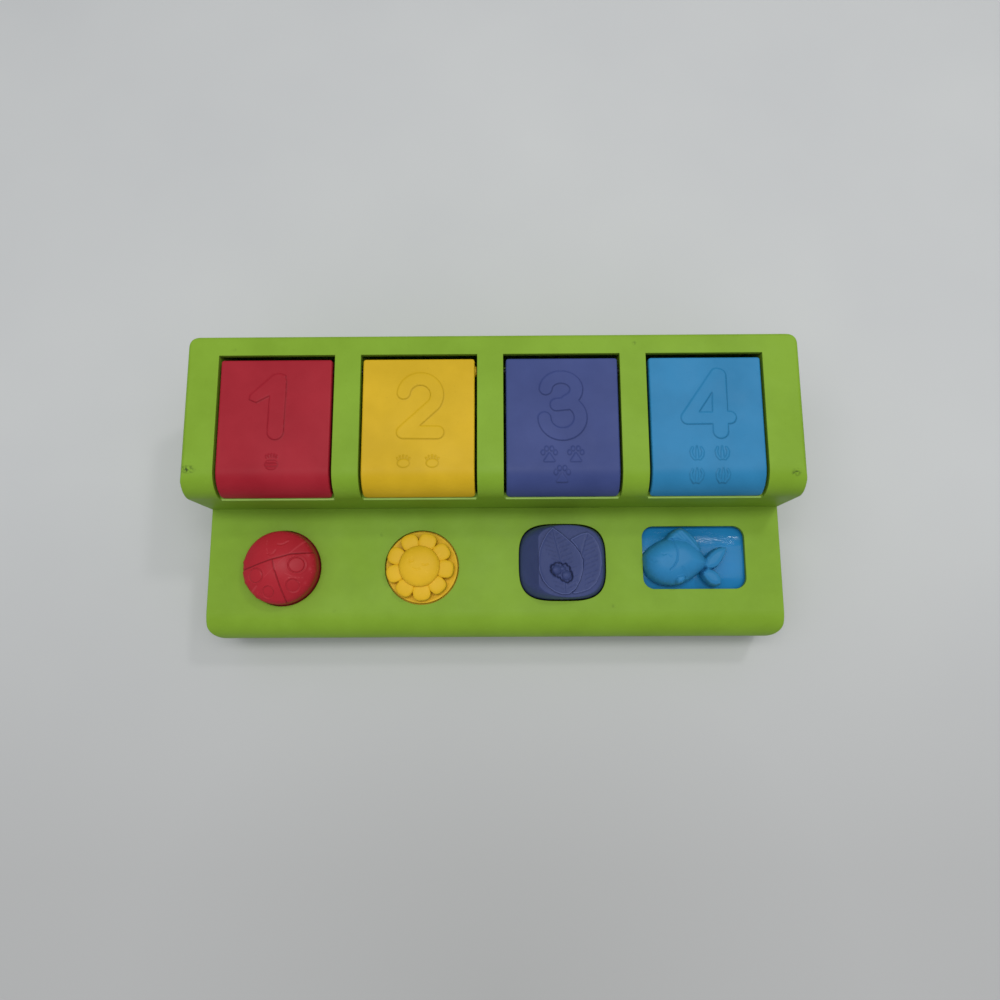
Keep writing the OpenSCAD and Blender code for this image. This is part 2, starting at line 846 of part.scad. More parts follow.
module hinge_pin(i) {
    color(STEEL)
        bar_x([lane_x(i) - opening_w / 2 - rib_t, hinge_y, hinge_z], pin_r, opening_w + 2 * rib_t);
}

// Torsion spring around the pin: one leg under the lid, the other before the stop rib
module lid_spring(i) {
    mean_r = pin_r + 0.15 + lid_wire_r;
    turns = 4;
    steps = 12;
    pitch = 2 * lid_wire_r + 0.12;
    x0 = lane_x(i) + ear_x - 2 - turns * pitch;
    turn = [
        for (k = [0:turns * steps + 3])
            [x0 + pitch * k / steps, hinge_y + mean_r * sin(360 * k / steps),
             hinge_z + mean_r * cos(360 * k / steps)]
    ];
    lid_leg = [[x0, hinge_y - 12, hinge_z + mean_r]];
    rib_leg = [[x0 + pitch * (turns + 0.25), hinge_y + mean_r, stop_low + 5]];
    color(STEEL)
        wire(concat(lid_leg, turn, rib_leg), lid_wire_r);
}

// ---- Catches and latch fingers ----

// Moves to the bite of lane i, with local +X along the way that the latch moves to let go
module at_bite(i) {
    translate([lane_x(i), bite_y, 0])
        rotate(i < 3 ? -90 : 0)
            children();
}

// Clip under the lid: a flat seat, a leg and a hook towards the latch
module lid_catch(i) {
    hook_tip = bite / 2;
    leg_face = -bite / 2 - bite_play;
    hook_top = bite_z - slide_gap;
    seat_low = lid_under - 1.2;
    color(WHITE)
        difference() {
            intersection() {
                at_bite(i)
                    along_y(-finger_w / 2, finger_w / 2)
                        polygon([
                            [leg_face - clip_t - 6.5, lid_under],
                            [leg_face, lid_under],
                            [leg_face, hook_top],
                            [hook_tip, hook_top],
                            [hook_tip, hook_top - 1],
                            [leg_face + 0.6, hook_top - hook_h],
                            [leg_face - clip_t, hook_top - hook_h],
                            [leg_face - clip_t, seat_low],
                            [leg_face - clip_t - 6.5, seat_low]
                        ]);
                along_x(lane_x(i) - lid_w / 2, lane_x(i) + lid_w / 2)
                    fillet_rect(step_y + lid_t, bite_z - 2 * hook_h, lid_back, lid_under,
                                [0, 0, 0, front_r - lid_t]);
            }
            at_bite(i)
                for (p = stake_places())
                    bar_z([p[0], p[1], seat_low - over], stake_r + 0.05, 2 * over + clip_t);
        }
}

// Finger of a latch, from z_low up to its nose
module finger(i, z_low) {
    face = bite / 2 + (bite_play - 0.25);
    nose_tip = -bite / 2;
    at_bite(i)
        along_y(-finger_w / 2, finger_w / 2)
            polygon([
                [face, z_low],
                [face + finger_t, z_low],
                [face + finger_t, bite_z + 4],
                [face, bite_z + 3.4],
                [nose_tip, bite_z + 1],
                [nose_tip, bite_z],
                [face, bite_z]
            ]);
}

// Plate of a latch that slides along Y, with a window around the post of its control
module y_latch(i, cx, cy) {
    plate_back = bite_y - bite / 2;
    front = plate_front(cy);
    difference() {
        block([cx - plate_w / 2, front, plate_z], [cx + plate_w / 2, plate_back, plate_top]);
        block([cx - window_half, front + plate_head, plate_z - over],
              [cx + window_half, cy + window_half + latch_travel, plate_top + over]);
    }
    finger(i, plate_z);
    block([lane_x(i) - 1, plate_back - 12, plate_top - bond],
          [lane_x(i) + 1, plate_back - finger_t, plate_top + 12]);
}

// ---- Ladybug button and its latch ----

// Slope between the button leg and the latch ramp: the latch moves ramp_rise for each mm down
ramp_rise = latch_travel / bug_travel;
ramp_y = plate_front(bug_y) + 3;
ramp_top = plate_z + 9;
leg_gap = 0.36;
leg_low = plate_z + bug_travel;

module button_latch() {
    color(GREY) {
        y_latch(1, bug_x, bug_y);
        along_x(bug_x - pad_half - 1, bug_x + pad_half + 1)
            polygon([
                [ramp_y - 3, plate_z],
                [ramp_y + ramp_rise * (ramp_top - plate_z), plate_z],
                [ramp_y, ramp_top],
                [ramp_y - 3, ramp_top]
            ]);
    }
}

module bug_form(inset) {
    r = bug_r - inset;
    h = bug_wall + bug_dome - inset;
    cap_r = (r * r + bug_dome * bug_dome) / (2 * bug_dome);
    edge_r = 4.5;
    intersection() {
        translate([bug_x, bug_y, flange_low])
            rotate_extrude($fn = 96)
                fillet_rect(0, 0, r, ledge_h + h - flange_low, [0, 0, edge_r, 0]);
        translate([bug_x, bug_y, ledge_h + h - cap_r])
            sphere(cap_r, $fn = 96);
    }
}

bug_tilt = 13;
bug_spots = [[-9.5, -3.5, 4], [-5, -12.5, 3], [9.5, -1.5, 4], [6.5, -11.5, 3.2]];

module ladybug_button() {
    leg_y = ramp_y + leg_gap;
    color(RED) {
        difference() {
            union() {
                bug_form(0);
                bar_z([bug_x, bug_y, flange_low], bug_hole_r + flange_over, flange_t);
                for (s = bug_spots)
                    intersection() {
                        bug_form(-0.5);
                        bar_z([bug_x + s[0], bug_y + s[1], ledge_h], s[2], bug_wall + bug_dome + over);
                    }
            }
            translate([0, 0, -over])
                bug_form(bug_skin);
            intersection() {
                difference() {
                    bug_form(-1);
                    bug_form(0.6);
                }
                translate([bug_x, bug_y + 3.5, ledge_h + 3])
                    rotate(bug_tilt) {
                        translate([-25, -0.5, 0])
                            cube([50, 1, 20]);
                        translate([-0.5, -25, 0])
                            cube([1, 25, 20]);
                    }
            }
        }
        intersection() {
            bug_form(0.5);
            bar_z([bug_x, bug_y, flange_low], collar_r, ledge_h);
        }
        bar_z([bug_x, bug_y, collar_low], collar_r, flange_low - collar_low + bond);
        bar_z([bug_x, bug_y, deck_z + bug_travel + 0.8], stem_r, collar_low - deck_z - bug_travel);
        intersection() {
            union() {
                bug_form(0.5);
                block([bug_x - 30, bug_y - 30, deck_z], [bug_x + 30, bug_y, flange_low + 2]);
            }
            along_x(bug_x - pad_half, bug_x + pad_half)
                polygon([
                    [leg_y, ledge_h + bug_wall],
                    [leg_y, ramp_top],
                    [leg_y + ramp_rise * (ramp_top - leg_low), leg_low],
                    [leg_y + ramp_rise * (ramp_top - leg_low) + 2.4, leg_low],
                    [leg_y + ramp_rise * (ramp_top - leg_low) + 2.4, ledge_h + bug_wall]
                ]);
        }
    }
}

module button_spring() {
    color(STEEL)
        translate([bug_x, bug_y, deck_z])
            compression_spring(bug_coil_r, bug_wire_r, collar_low - deck_z, 6);
}

// ---- Flower dial and its latch ----

dome_h = 7;
petal_top = ledge_h + 7;

module flower_dial() {
    heart_cap_r = (heart_r * heart_r + dome_h * dome_h) / (2 * dome_h);
    color(YELLOW) {
        bar_z([flower_x, flower_y, flange_low], flower_hole_r + flange_over, flange_t);
        bar_z([flower_x, flower_y, flange_low], disc_r, ledge_h - flange_low);
        for (k = [0:petal_n - 1])
            translate([flower_x, flower_y, 0])
                rotate(73 + 360 * k / petal_n)
                    translate([petal_tip - petal_r, 0, ledge_h - bond])
                        rotate_extrude($fn = 48)
                            fillet_rect(0, 0, petal_r, petal_top - ledge_h + bond,
                                        [0, 0, petal_r - 0.6, 0]);
        intersection() {
            bar_z([flower_x, flower_y, ledge_h - bond], heart_r, dome_h + 4);
            translate([flower_x, flower_y, ledge_h + dome_h + 3 - heart_cap_r])
                sphere(heart_cap_r, $fn = 96);
        }
        bar_z([flower_x, flower_y, deck_z + slide_gap], shaft_r, flange_low - deck_z);
        translate([flower_x, flower_y, 0])
            rotate(crank_half)
                bar_z([crank_r, 0, peg_low], peg_r, flange_low - peg_low + bond);
    }
}

module dial_latch() {
    deck_half = 12;
    slot_play = 0.3;
    wall_in = window_half + 0.6;
    color(GREY) {
        y_latch(2, flower_x, flower_y);
        block([flower_x - pad_half, plate_front(flower_y), plate_z],
              [flower_x + pad_half, plate_front(flower_y) + pad_t, plate_z + seat_h]);
        for (side = [-1, 1]) {
            edge = flower_x + side * (wall_in + deck_half) / 2;
            half = (deck_half - wall_in) / 2;
            block([edge - half, flower_y - 5, plate_top - bond],
                  [edge + half, flower_y + 7, bridge_z + bond]);
        }
        difference() {
            block([flower_x - deck_half, flower_y - 8, bridge_z],
                  [flower_x + deck_half, flower_y + 12, bridge_z + plate_t]);
            block([flower_x - shaft_r - 0.4, flower_y - shaft_r - 0.5, bridge_z - over],
                  [flower_x + shaft_r + 0.4, flower_y + shaft_r + latch_travel + 0.5,
                   bridge_z + plate_t + over]);
            peg_y = flower_y + crank_r * sin(crank_half);
            block([flower_x + crank_r * cos(crank_half) - peg_r - slot_play,
                   peg_y - peg_r - slot_play / 2, bridge_z - over],
                  [flower_x + crank_r + peg_r + slot_play,
                   peg_y + peg_r + slot_play / 2, bridge_z + plate_t + over]);
        }
    }
}

// ---- Leaf rocker and its latch ----

// Barrel about the rocker axis whose outline fills the window at ledge level
module rocker_barrel(inset) {
    a = leaf_w / 2 - leaf_gap;
    b = leaf_d / 2 - leaf_gap;
    half = b - inset;
    steps = 20;
    rim = [
        for (k = [-steps:steps])
            let (y = half * sin(90 * k / steps), x = squircle(a, b, leaf_n, y))
            [sqrt(x * x + rocker_drop * rocker_drop) - inset, y]
    ];
    rotate([-90, 0, 0])
        rotate_extrude($fn = 96)
            polygon(concat([[0, -half]], rim, [[0, half]]));
}

// Puts its children into the rocker's own frame: axis along Y, face square to local Z
module at_rocker() {
    translate([leaf_x, leaf_y, rocker_z])
        rotate([0, rocker_lean, 0])
            children();
}

module rocker_relief() {
    root = [-1.5, -16];
    translate([0, 0, rocker_face - bond])
        linear_extrude(bond + 0.9)
            leaf_2d(root, [-8.7, 16.4], 20);
    translate([0, 0, rocker_face - bond])
        linear_extrude(bond + 0.5)
            leaf_2d(root, [11.5, 14.5], 17);
    for (p = [[-6.5, -4.2], [-1.4, -7.6], [-2.9, -3.1]])
        translate([p[0], p[1], rocker_face + 0.4])
            sphere(2.5, $fn = 48);
}

module leaf_rocker() {
    skin = 2.4;
    big = 80;
    arm_half = 1.8;
    color(INDIGO)
        at_rocker()
            difference() {
                union() {
                    difference() {
                        rocker_barrel(0);
                        translate([-big / 2, -big / 2, rocker_face])
                            cube(big);
                        translate([-big / 2, -big / 2, -big - 8])
                            cube(big);
                        difference() {
                            rocker_barrel(skin);
                            translate([-big / 2, -big / 2, rocker_face - skin])
                                cube(big);
                        }
                    }
                    rocker_relief();
                    block([-arm_half, -3, -rocker_arm], [arm_half, 3, rocker_face - skin + bond]);
                    bar_y([0, -3, 0], pin_r + 2.4, 6);
                    bar_y([0, -3, -rocker_arm], peg_round_r, 6);
                }
                bar_y([0, -big / 2, 0], pin_r + pin_play, big);
            }
}

module rocker_pin() {
    half = leaf_d / 2 + 3;
    color(STEEL)
        bar_y([leaf_x, leaf_y - half, rocker_z], pin_r, 2 * half);
}

module rocker_latch() {
    left = leaf_x - plate_w / 2;
    right = leaf_x + plate_w / 2;
    peg_x = leaf_x - rocker_arm * sin(rocker_lean);
    fork_in = peg_round_r + 0.15;
    fork_out = fork_in + 2.5;
    color(GREY) {
        block([left, rocker_plate_front, plate_z], [right, rocker_plate_back, plate_top]);
        for (side = [-1, 1]) {
            mid = peg_x + side * (fork_in + fork_out) / 2;
            half = (fork_out - fork_in) / 2;
            block([mid - half, leaf_y - pad_half, plate_top - bond],
                  [mid + half, leaf_y + pad_half, fork_z + 2.4]);
        }
        block([right - pad_t, rocker_spring_y - pad_half, plate_z],
              [right, rocker_spring_y + pad_half, plate_z + seat_h]);
        difference() {
            finger(3, plate_z);
            block([left, rocker_plate_back - guide_lip - slide_gap, plate_top],
                  [right, rocker_plate_back + over, plate_top + 2 * slide_gap + guide_lip_h]);
        }
    }
}

// Return spring of the latch that slides along Y under the control at (cx, cy)
module y_latch_spring(cx, cy) {
    color(STEEL)
        translate([cx, plate_front(cy), spring_z])
            rotate([90, 0, 0])
                compression_spring(spring_r, spring_wire_r, spring_len, 5);
}

module rocker_latch_spring() {
    color(STEEL)
        translate([leaf_x + plate_w / 2, rocker_spring_y, spring_z])
            rotate([0, 90, 0])
                compression_spring(spring_r, spring_wire_r, spring_len, 5);
}

// ---- Fish slider ----

module fish_form() {
    fs = fish_w / 54.2;
    mouth = fs * [-27.5, 0.3];
    root = fs * [5, -5.2];
    waist = fs * [3.5, -5];
    cap_r = fs * 24;
    intersection() {
        translate([0, 0, fish_low])
            linear_extrude(fish_h)
                leaf_2d(mouth, root, fs * 24.4);
        translate([fs * -12.5, fs * -2.5, fish_top - cap_r])
            sphere(cap_r, $fn = 96);
    }
    tail_z = fish_low + 1.2;
    translate([0, 0, tail_z])
        linear_extrude(4.5) {
            stroke(fs * [-2, -4.4], waist + fs * [0.8, 0], fs * 4);
            leaf_2d(waist, fs * [13.7, 4.7], fs * 6.5);
            leaf_2d(waist, fs * [10.7, -14.7], fs * 6.5);
        }
    translate([0, 0, tail_z])
        linear_extrude(4)
            polygon(fs * [[-15, 8], [-8.3, 14.6], [-1, 4]]);
    translate([fs * -10, fs * -11.3, fish_top - 5])
        sphere(fs * 3.2, $fn = 48);
}

tongue_back = bite_y - finger_w / 2 - 0.5;
arm_front = fish_y + slider_half + guide_wall + 2 * slide_gap;
arm_stake_y = [arm_front + 2.8, arm_front + 8.4];
clip_seat_t = 2.5;

module fish_slider() {
    crown_half = slider_half - 1;
    crown_r = (crown_half * crown_half + slider_crown * slider_crown) / (2 * slider_crown);
    color(BLUE) {
        along_x(slider_left, slider_right)
            union() {
                translate([fish_y - slider_half, slider_low])
                    square([2 * slider_half, slider_t]);
                intersection() {
                    translate([fish_y - slider_half, slider_edge_top - bond])
                        square([2 * slider_half, slider_crown + over]);
                    translate([fish_y, slider_edge_top + slider_crown - crown_r])
                        circle(crown_r, $fn = 180);
                }
            }
        translate([fish_x, fish_y, 0]) {
            fish_form();
            translate([-12, -2, slider_edge_top])
                cylinder(r = 8, h = fish_low - slider_edge_top + bond);
        }
        block([lane_x(4) - tongue_half + 1, fish_y + slider_half - over, slider_low],
              [lane_x(4) + tongue_half + 1, tongue_back, slider_edge_top]);
        for (y = arm_stake_y)
            bar_z([lane_x(4) + 1, y, slider_low - clip_seat_t - 0.6], stem_r / 2,
                  clip_seat_t + 0.6 + bond);
        block([lug_x, fish_y - pad_half, fish_spring_z - pad_half],
              [lug_x + lug_t, fish_y + pad_half, slider_low + bond]);
    }
}

module fish_latch() {
    seat_low = slider_low - clip_seat_t;
    color(GREY)
        difference() {
            union() {
                block([lane_x(4) - 4, arm_front, seat_low],
                      [lane_x(4) + 6, bite_y + finger_w / 2, slider_low]);
                finger(4, seat_low);
            }
            for (y = arm_stake_y)
                bar_z([lane_x(4) + 1, y, seat_low - over], stem_r / 2 + 0.05,
                      clip_seat_t + 2 * over);
        }
}

module fish_spring() {
    color(STEEL)
        translate([lug_x + lug_t, fish_y, fish_spring_z])
            rotate([0, 90, 0])
                compression_spring(spring_r, spring_wire_r, fish_spring_len, 7);
}

// ---- Figures ----

// Puts a figure, drawn standing with its back to +Y and the hinge axis at its origin, under
// the closed lid of lane i
module stowed(i) {
    back = lid_under - hinge_z;
    big = 120;
    translate([lane_x(i), hinge_y, hinge_z])
        rotate([90, 0, 0])
            intersection() {
                children();
                translate([-big / 2, back - big, -big / 2])
                    cube(big);
            }
}

// Size of the figures: they fill the room between the hinge and the latch finger
fig = (hinge_y - bite_y - 6.2) / 45;
belly_z = 17;
head_z = 33;
figure_y = -8;

module ball(x, y, z, r) {
    translate(fig * [x, y, z])
        sphere(fig * r, $fn = 48);
}

// Belly, head, arms and feet that the four animals share
module figure_body() {
    ball(0, figure_y, belly_z, belly_r);
    ball(0, figure_y, head_z, head_r);
    for (side = [-1, 1]) {
        ball(side * 11, figure_y - 5, belly_z + 4, 4.2);
        ball(side * 7, figure_y - 8, 8.5, 5);
    }
}

module eyes() {
    for (side = [-1, 1])
        ball(side * 4.4, figure_y - head_r + 1.6, head_z + 2.5, 1.5);
}

module bear_figure() {
    color("#8a5a33")
        stowed(1) {
            figure_body();
            eyes();
            ball(0, figure_y - head_r + 1, head_z - 3, 4.6);
            for (side = [-1, 1])
                ball(side * 8.5, figure_y + 3, head_z + 9, 4.2);
        }
}

module elephant_figure() {
    color("#8d98a6")
        stowed(2) {
            figure_body();
            eyes();
            for (side = [-1, 1])
                bar_y(fig * [side * 13.5, figure_y + 1, head_z + 1], fig * 8.5, fig * 3.5);
            translate(fig * [0, figure_y - head_r + 1, head_z - 1])
                rotate([168, 0, 0])
                    cylinder(r1 = fig * 3.4, r2 = fig * 2.2, h = fig * 15, $fn = 48);
        }
}

module cat_figure() {
    color("#d88a3a")
        stowed(3) {
            figure_body();
            eyes();
            ball(0, figure_y - head_r + 1, head_z - 3, 3.2);
            for (side = [-1, 1])
                translate(fig * [side * 7, figure_y + 2, head_z + 7])
                    rotate([0, side * 18, 0])
                        cylinder(r1 = fig * 4.2, r2 = fig * 0.8, h = fig * 8, $fn = 48);
        }
}

module duck_figure() {
    color("#e8c63a")
        stowed(4) {
            figure_body();
            eyes();
            intersection() {
                ball(0, figure_y - head_r + 1, head_z - 2.5, 6);
                translate(fig * [-6, figure_y - head_r - 6, head_z - 4.5])
                    cube(fig * [12, 12, 4]);
            }
            ball(0, figure_y, head_z + head_r, 2.2);
        }
}

// ---- The toy ----

top_housing();
base_plate();
case_screws();
lid(1, RED);  // red_lid
lid(2, YELLOW);  // yellow_lid
lid(3, INDIGO);  // indigo_lid
lid(4, BLUE);  // blue_lid
hinge_pin(1);  // red_hinge_pin
hinge_pin(2);  // yellow_hinge_pin
hinge_pin(3);  // indigo_hinge_pin
hinge_pin(4);  // blue_hinge_pin
lid_spring(1);  // red_lid_spring
lid_spring(2);  // yellow_lid_spring
lid_spring(3);  // indigo_lid_spring
lid_spring(4);  // blue_lid_spring
lid_catch(1);  // red_lid_catch
lid_catch(2);  // yellow_lid_catch
lid_catch(3);  // indigo_lid_catch
lid_catch(4);  // blue_lid_catch
bear_figure();
elephant_figure();
cat_figure();
duck_figure();
ladybug_button();
button_spring();
flower_dial();
leaf_rocker();
rocker_pin();
fish_slider();
fish_latch();
fish_spring();
button_latch();
dial_latch();
rocker_latch();
y_latch_spring(bug_x, bug_y);  // button_latch_spring
y_latch_spring(flower_x, flower_y);  // dial_latch_spring
rocker_latch_spring();
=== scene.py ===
import math
import bmesh
import bpy
import numpy as np
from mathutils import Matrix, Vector


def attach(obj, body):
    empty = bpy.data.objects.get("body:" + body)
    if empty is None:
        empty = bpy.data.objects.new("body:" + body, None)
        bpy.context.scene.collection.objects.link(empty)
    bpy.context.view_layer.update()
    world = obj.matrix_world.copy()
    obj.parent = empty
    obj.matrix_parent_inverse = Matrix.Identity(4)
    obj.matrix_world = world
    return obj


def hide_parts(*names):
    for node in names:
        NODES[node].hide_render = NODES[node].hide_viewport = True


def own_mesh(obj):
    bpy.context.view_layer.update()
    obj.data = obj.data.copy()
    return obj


# Pop-up animal toy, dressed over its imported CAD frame.
# Shapes are worked out in millimetres and turned into metres when a mesh is made.

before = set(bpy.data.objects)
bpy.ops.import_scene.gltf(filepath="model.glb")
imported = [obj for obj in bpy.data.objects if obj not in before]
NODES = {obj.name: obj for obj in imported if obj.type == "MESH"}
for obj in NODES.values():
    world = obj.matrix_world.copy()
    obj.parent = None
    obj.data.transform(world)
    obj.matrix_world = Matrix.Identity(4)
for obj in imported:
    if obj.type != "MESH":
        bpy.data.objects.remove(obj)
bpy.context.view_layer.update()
MM = 0.001
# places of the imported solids: lanes of the lids, step, box, hinge axis and the four controls
HUES = ("red", "yellow", "indigo", "blue")
LANE = (-106.5, -36.3, 33.9, 104.1)
STEP_Y, LID_BACK, BOX_H, LEDGE_H = -6.0, 61.5, 84.0, 40.0
HINGE_Y, HINGE_Z = 56.5, 79.0
PIN_BORE, EAR_LEN = 1.55, 4.0
BUG = np.array([-111.5, -37.6])
FLOWER = np.array([-38.3, -37.5])
LEAF = np.array([35.9, -35.15, 33.0])
FISH = np.array([105.4, -32.9])


# ---- colours and materials ----

def rgb(r, g, b):
    """sRGB 0..255 to a linear colour."""
    lin = [((v / 255 + 0.055) / 1.055) ** 2.4 if v > 10 else v / 255 / 12.92 for v in (r, g, b)]
    return (*lin, 1.0)


def node(tree, kind, **inputs):
    """A shader node with its inputs set by name."""
    n = tree.nodes.new(kind)
    for k, v in inputs.items():
        n.inputs[k.replace("_", " ")].default_value = v
    return n


def noise(tree, coords, scale, detail=3.0, rough=0.55):
    n = node(tree, "ShaderNodeTexNoise", Scale=scale, Detail=detail, Roughness=rough)
    tree.links.new(coords, n.inputs["Vector"])
    return n.outputs["Fac"]


def ramp(tree, value, low, high, a, b):
    """Maps value from low..high to a..b."""
    n = node(tree, "ShaderNodeMapRange")
    for i, v in enumerate((low, high, a, b)):
        n.inputs[i + 1].default_value = v
    tree.links.new(value, n.inputs[0])
    return n.outputs[0]


def feed(tree, sock, value):
    """Links another node's output to the socket, or sets a plain value."""
    if isinstance(value, bpy.types.NodeSocket):
        tree.links.new(value, sock)
    else:
        sock.default_value = value


def mix(tree, fac, a, b):
    n = tree.nodes.new("ShaderNodeMix")
    n.data_type = "RGBA"
    for index, v in ((0, fac), (6, a), (7, b)):
        feed(tree, n.inputs[index], v)
    return n.outputs[2]


def vector_math(tree, operation, a, b=None):
    n = tree.nodes.new("ShaderNodeVectorMath")
    n.operation = operation
    tree.links.new(a, n.inputs[0])
    if b is not None:
        n.inputs[1].default_value = b
    return n


def spot_mask(tree, coords, centre, radius, stretch=(1, 1, 1)):
    """1 at a point of the surface, fading to 0 at radius."""
    sub = vector_math(tree, "SUBTRACT", coords, centre)
    mul = vector_math(tree, "MULTIPLY", sub.outputs[0], stretch)
    length = vector_math(tree, "LENGTH", mul.outputs[0])
    return ramp(tree, length.outputs["Value"], 0.0, radius, 1.0, 0.0)


def times(tree, a, b):
    n = tree.nodes.new("ShaderNodeMath")
    n.operation = "MULTIPLY"
    feed(tree, n.inputs[0], a)
    feed(tree, n.inputs[1], b)
    return n.outputs[0]


def tint(colour, scale, lift=0.0):
    """A darker or paler shade of a linear colour."""
    return tuple(min(1.0, c * scale + lift) for c in colour[:3]) + (1.0,)


def new_material(name):
    """A material, its node tree, its surface shader and the object's own coordinates."""
    m = bpy.data.materials.new(name)
    m.use_nodes = True
    t = m.node_tree
    return m, t, t.nodes["Principled BSDF"], t.nodes.new("ShaderNodeTexCoord").outputs["Object"]


def add_bump(tree, bsdf, height, strength, distance):
    bump = node(tree, "ShaderNodeBump", Strength=strength, Distance=distance)
    tree.links.new(height, bump.inputs["Height"])
    tree.links.new(bump.outputs["Normal"], bsdf.inputs["Normal"])


def plastic(name, colour, rough=0.42, grain=0.12, grain_scale=1500.0, wear=0.0, edge=0.0, scuffs=(),
            mottle=0.06, specular=0.13, painted_shade=0.0):
    """Moulded plastic: mottling, mould grain, handling wear, paler edges, scuffs.

    The point attribute "groove" gives painted shade where positive and a painted highlight where negative.
    """
    m, t, bsdf, coords = new_material(name)
    base = rgb(*colour)
    tone = ramp(t, noise(t, coords, 38.0, 4.0), 0.35, 0.65, 0.0, 1.0)
    col = mix(t, tone, tint(base, 1 - mottle), tint(base, 1 + mottle, 0.004))
    speck = ramp(t, noise(t, coords, 900.0, 2.0), 0.66, 0.74, 0.0, 0.22)
    col = mix(t, speck, col, tint(base, 0.72))
    if wear:
        rub = ramp(t, noise(t, coords, 120.0, 6.0, 0.7), 0.56, 0.70, 0.0, wear)
        col = mix(t, rub, col, tint(base, 1.18, 0.03))
    if edge:
        geo = t.nodes.new("ShaderNodeNewGeometry")
        rim = ramp(t, geo.outputs["Pointiness"], 0.515, 0.56, 0.0, edge)
        col = mix(t, rim, col, tint(base, 1.3, 0.05))
    # painted shade on the marks where "groove" is positive, painted highlight where it is negative
    if painted_shade:
        mark = t.nodes.new("ShaderNodeAttribute")
        mark.attribute_name = "groove"
        col = mix(t, times(t, mark.outputs["Fac"], painted_shade), col, tint(base, 0.25))
        col = mix(t, times(t, mark.outputs["Fac"], -painted_shade), col, tint(base, 1.9, 0.06))
    for centre, radius, strength, stretch in scuffs:
        mark = times(t, spot_mask(t, coords, tuple(v * MM for v in centre), radius * MM, stretch),
                     ramp(t, noise(t, coords, 700.0, 4.0), 0.42, 0.62, 0.0, 1.6))
        col = mix(t, times(t, mark, strength), col, rgb(48, 70, 22))
    t.links.new(col, bsdf.inputs["Base Color"])
    t.links.new(ramp(t, noise(t, coords, 60.0, 4.0), 0.3, 0.7, rough - 0.05, rough + 0.06),
                bsdf.inputs["Roughness"])
    bsdf.inputs["Specular IOR Level"].default_value = specular
    add_bump(t, bsdf, noise(t, coords, grain_scale, 2.0, 0.5), grain, 0.08 * MM)
    return m


def soft_edges(m, radius):
    """Lets a CAD solid's sharp edges catch the light as a moulded edge does."""
    t = m.node_tree
    bevel = t.nodes.new("ShaderNodeBevel")
    bevel.samples = 6
    bevel.inputs["Radius"].default_value = radius * MM
    for n in t.nodes:
        if n.type == "BUMP" and not n.inputs["Normal"].is_linked:
            t.links.new(bevel.outputs["Normal"], n.inputs["Normal"])
    return m


def steel(name, colour=(176, 180, 184), rough=0.3):
    m, t, bsdf, coords = new_material(name)
    base = rgb(*colour)
    tone = ramp(t, noise(t, coords, 260.0, 5.0), 0.3, 0.7, 0.0, 1.0)
    t.links.new(mix(t, tone, tint(base, 0.82), base), bsdf.inputs["Base Color"])
    bsdf.inputs["Metallic"].default_value = 1.0
    t.links.new(ramp(t, noise(t, coords, 1400.0, 3.0), 0.3, 0.7, rough - 0.08, rough + 0.1),
                bsdf.inputs["Roughness"])
    add_bump(t, bsdf, noise(t, coords, 2600.0, 3.0), 0.12, 0.04 * MM)
    return m


# place, radius, strength and stretch of each scuff on the green shell
SCUFFS = [((-147.2, 6.6, 83.6), 3.6, 1.0, (0.8, 1.5, 1)), ((145.6, 3.6, 83.2), 2.8, 0.9, (1, 1.2, 1)),
          ((-84.0, -60.0, 39.0), 1.6, 0.35, (1, 1, 1)), ((-60.0, -20.0, 40.0), 1.3, 0.3, (1, 1, 1)),
          ((62.0, -58.0, 39.5), 1.5, 0.3, (1, 1, 1)), ((70.0, 69.0, 84.0), 1.4, 0.35, (1, 1, 1)),
          ((-128.0, 67.0, 84.0), 1.5, 0.3, (1, 1, 1)), ((18.0, -22.0, 40.0), 1.2, 0.3, (1, 1, 1))]
MAT = {
    "green": plastic("green_shell", (124, 160, 42), rough=0.46, grain=0.16, wear=0.10, scuffs=SCUFFS,
                     mottle=0.05),
    # paler copy of the shell green for the sill lips: a painted highlight
    "lip": plastic("green_lip_painted_highlight", (146, 178, 84), rough=0.5, grain=0.2),
    "base": plastic("green_base", (108, 145, 36), rough=0.5, grain=0.25),
    "red": plastic("red_lid_plastic", (155, 27, 41), rough=0.44, wear=0.05, edge=0.25, painted_shade=0.45),
    "yellow": plastic("yellow_lid_plastic", (203, 165, 26), rough=0.44, wear=0.05, edge=0.2, painted_shade=0.4),
    "indigo": plastic("indigo_lid_plastic", (58, 70, 122), rough=0.44, wear=0.05, edge=0.25, painted_shade=0.5),
    "blue": plastic("blue_lid_plastic", (42, 122, 168), rough=0.42, wear=0.04, edge=0.2, painted_shade=0.45),
    "bug": plastic("ladybug_plastic", (166, 32, 44), rough=0.4, wear=0.06, edge=0.3, painted_shade=0.75),
    "flower": plastic("flower_plastic", (216, 172, 32), rough=0.46, wear=0.06, edge=0.2),
    "leaf": plastic("rocker_plastic", (58, 68, 112), rough=0.42, wear=0.08, edge=0.3, grain=0.35,
                    grain_scale=900.0, painted_shade=0.9),
    "fish": plastic("fish_plastic", (42, 122, 172), rough=0.40, wear=0.05, edge=0.25),
    "plate": plastic("water_plate_plastic", (32, 122, 178), rough=0.11, specular=0.14, grain=0.04),
    "grey": plastic("grey_latch_plastic", (128, 131, 136), rough=0.5, grain=0.2),
    "nylon": plastic("white_clip_nylon", (222, 219, 208), rough=0.5, grain=0.1, mottle=0.03),
    "steel": steel("spring_steel"),
    "pin": steel("pin_steel", (58, 58, 58), 0.6),
    "screw": steel("screw_steel", (150, 152, 150), 0.36),
    "bill": plastic("duck_bill_plastic", (222, 120, 44), rough=0.45, grain=0.15),
    "black": plastic("eye_plastic", (26, 24, 26), rough=0.25, grain=0.05, mottle=0.03),
}
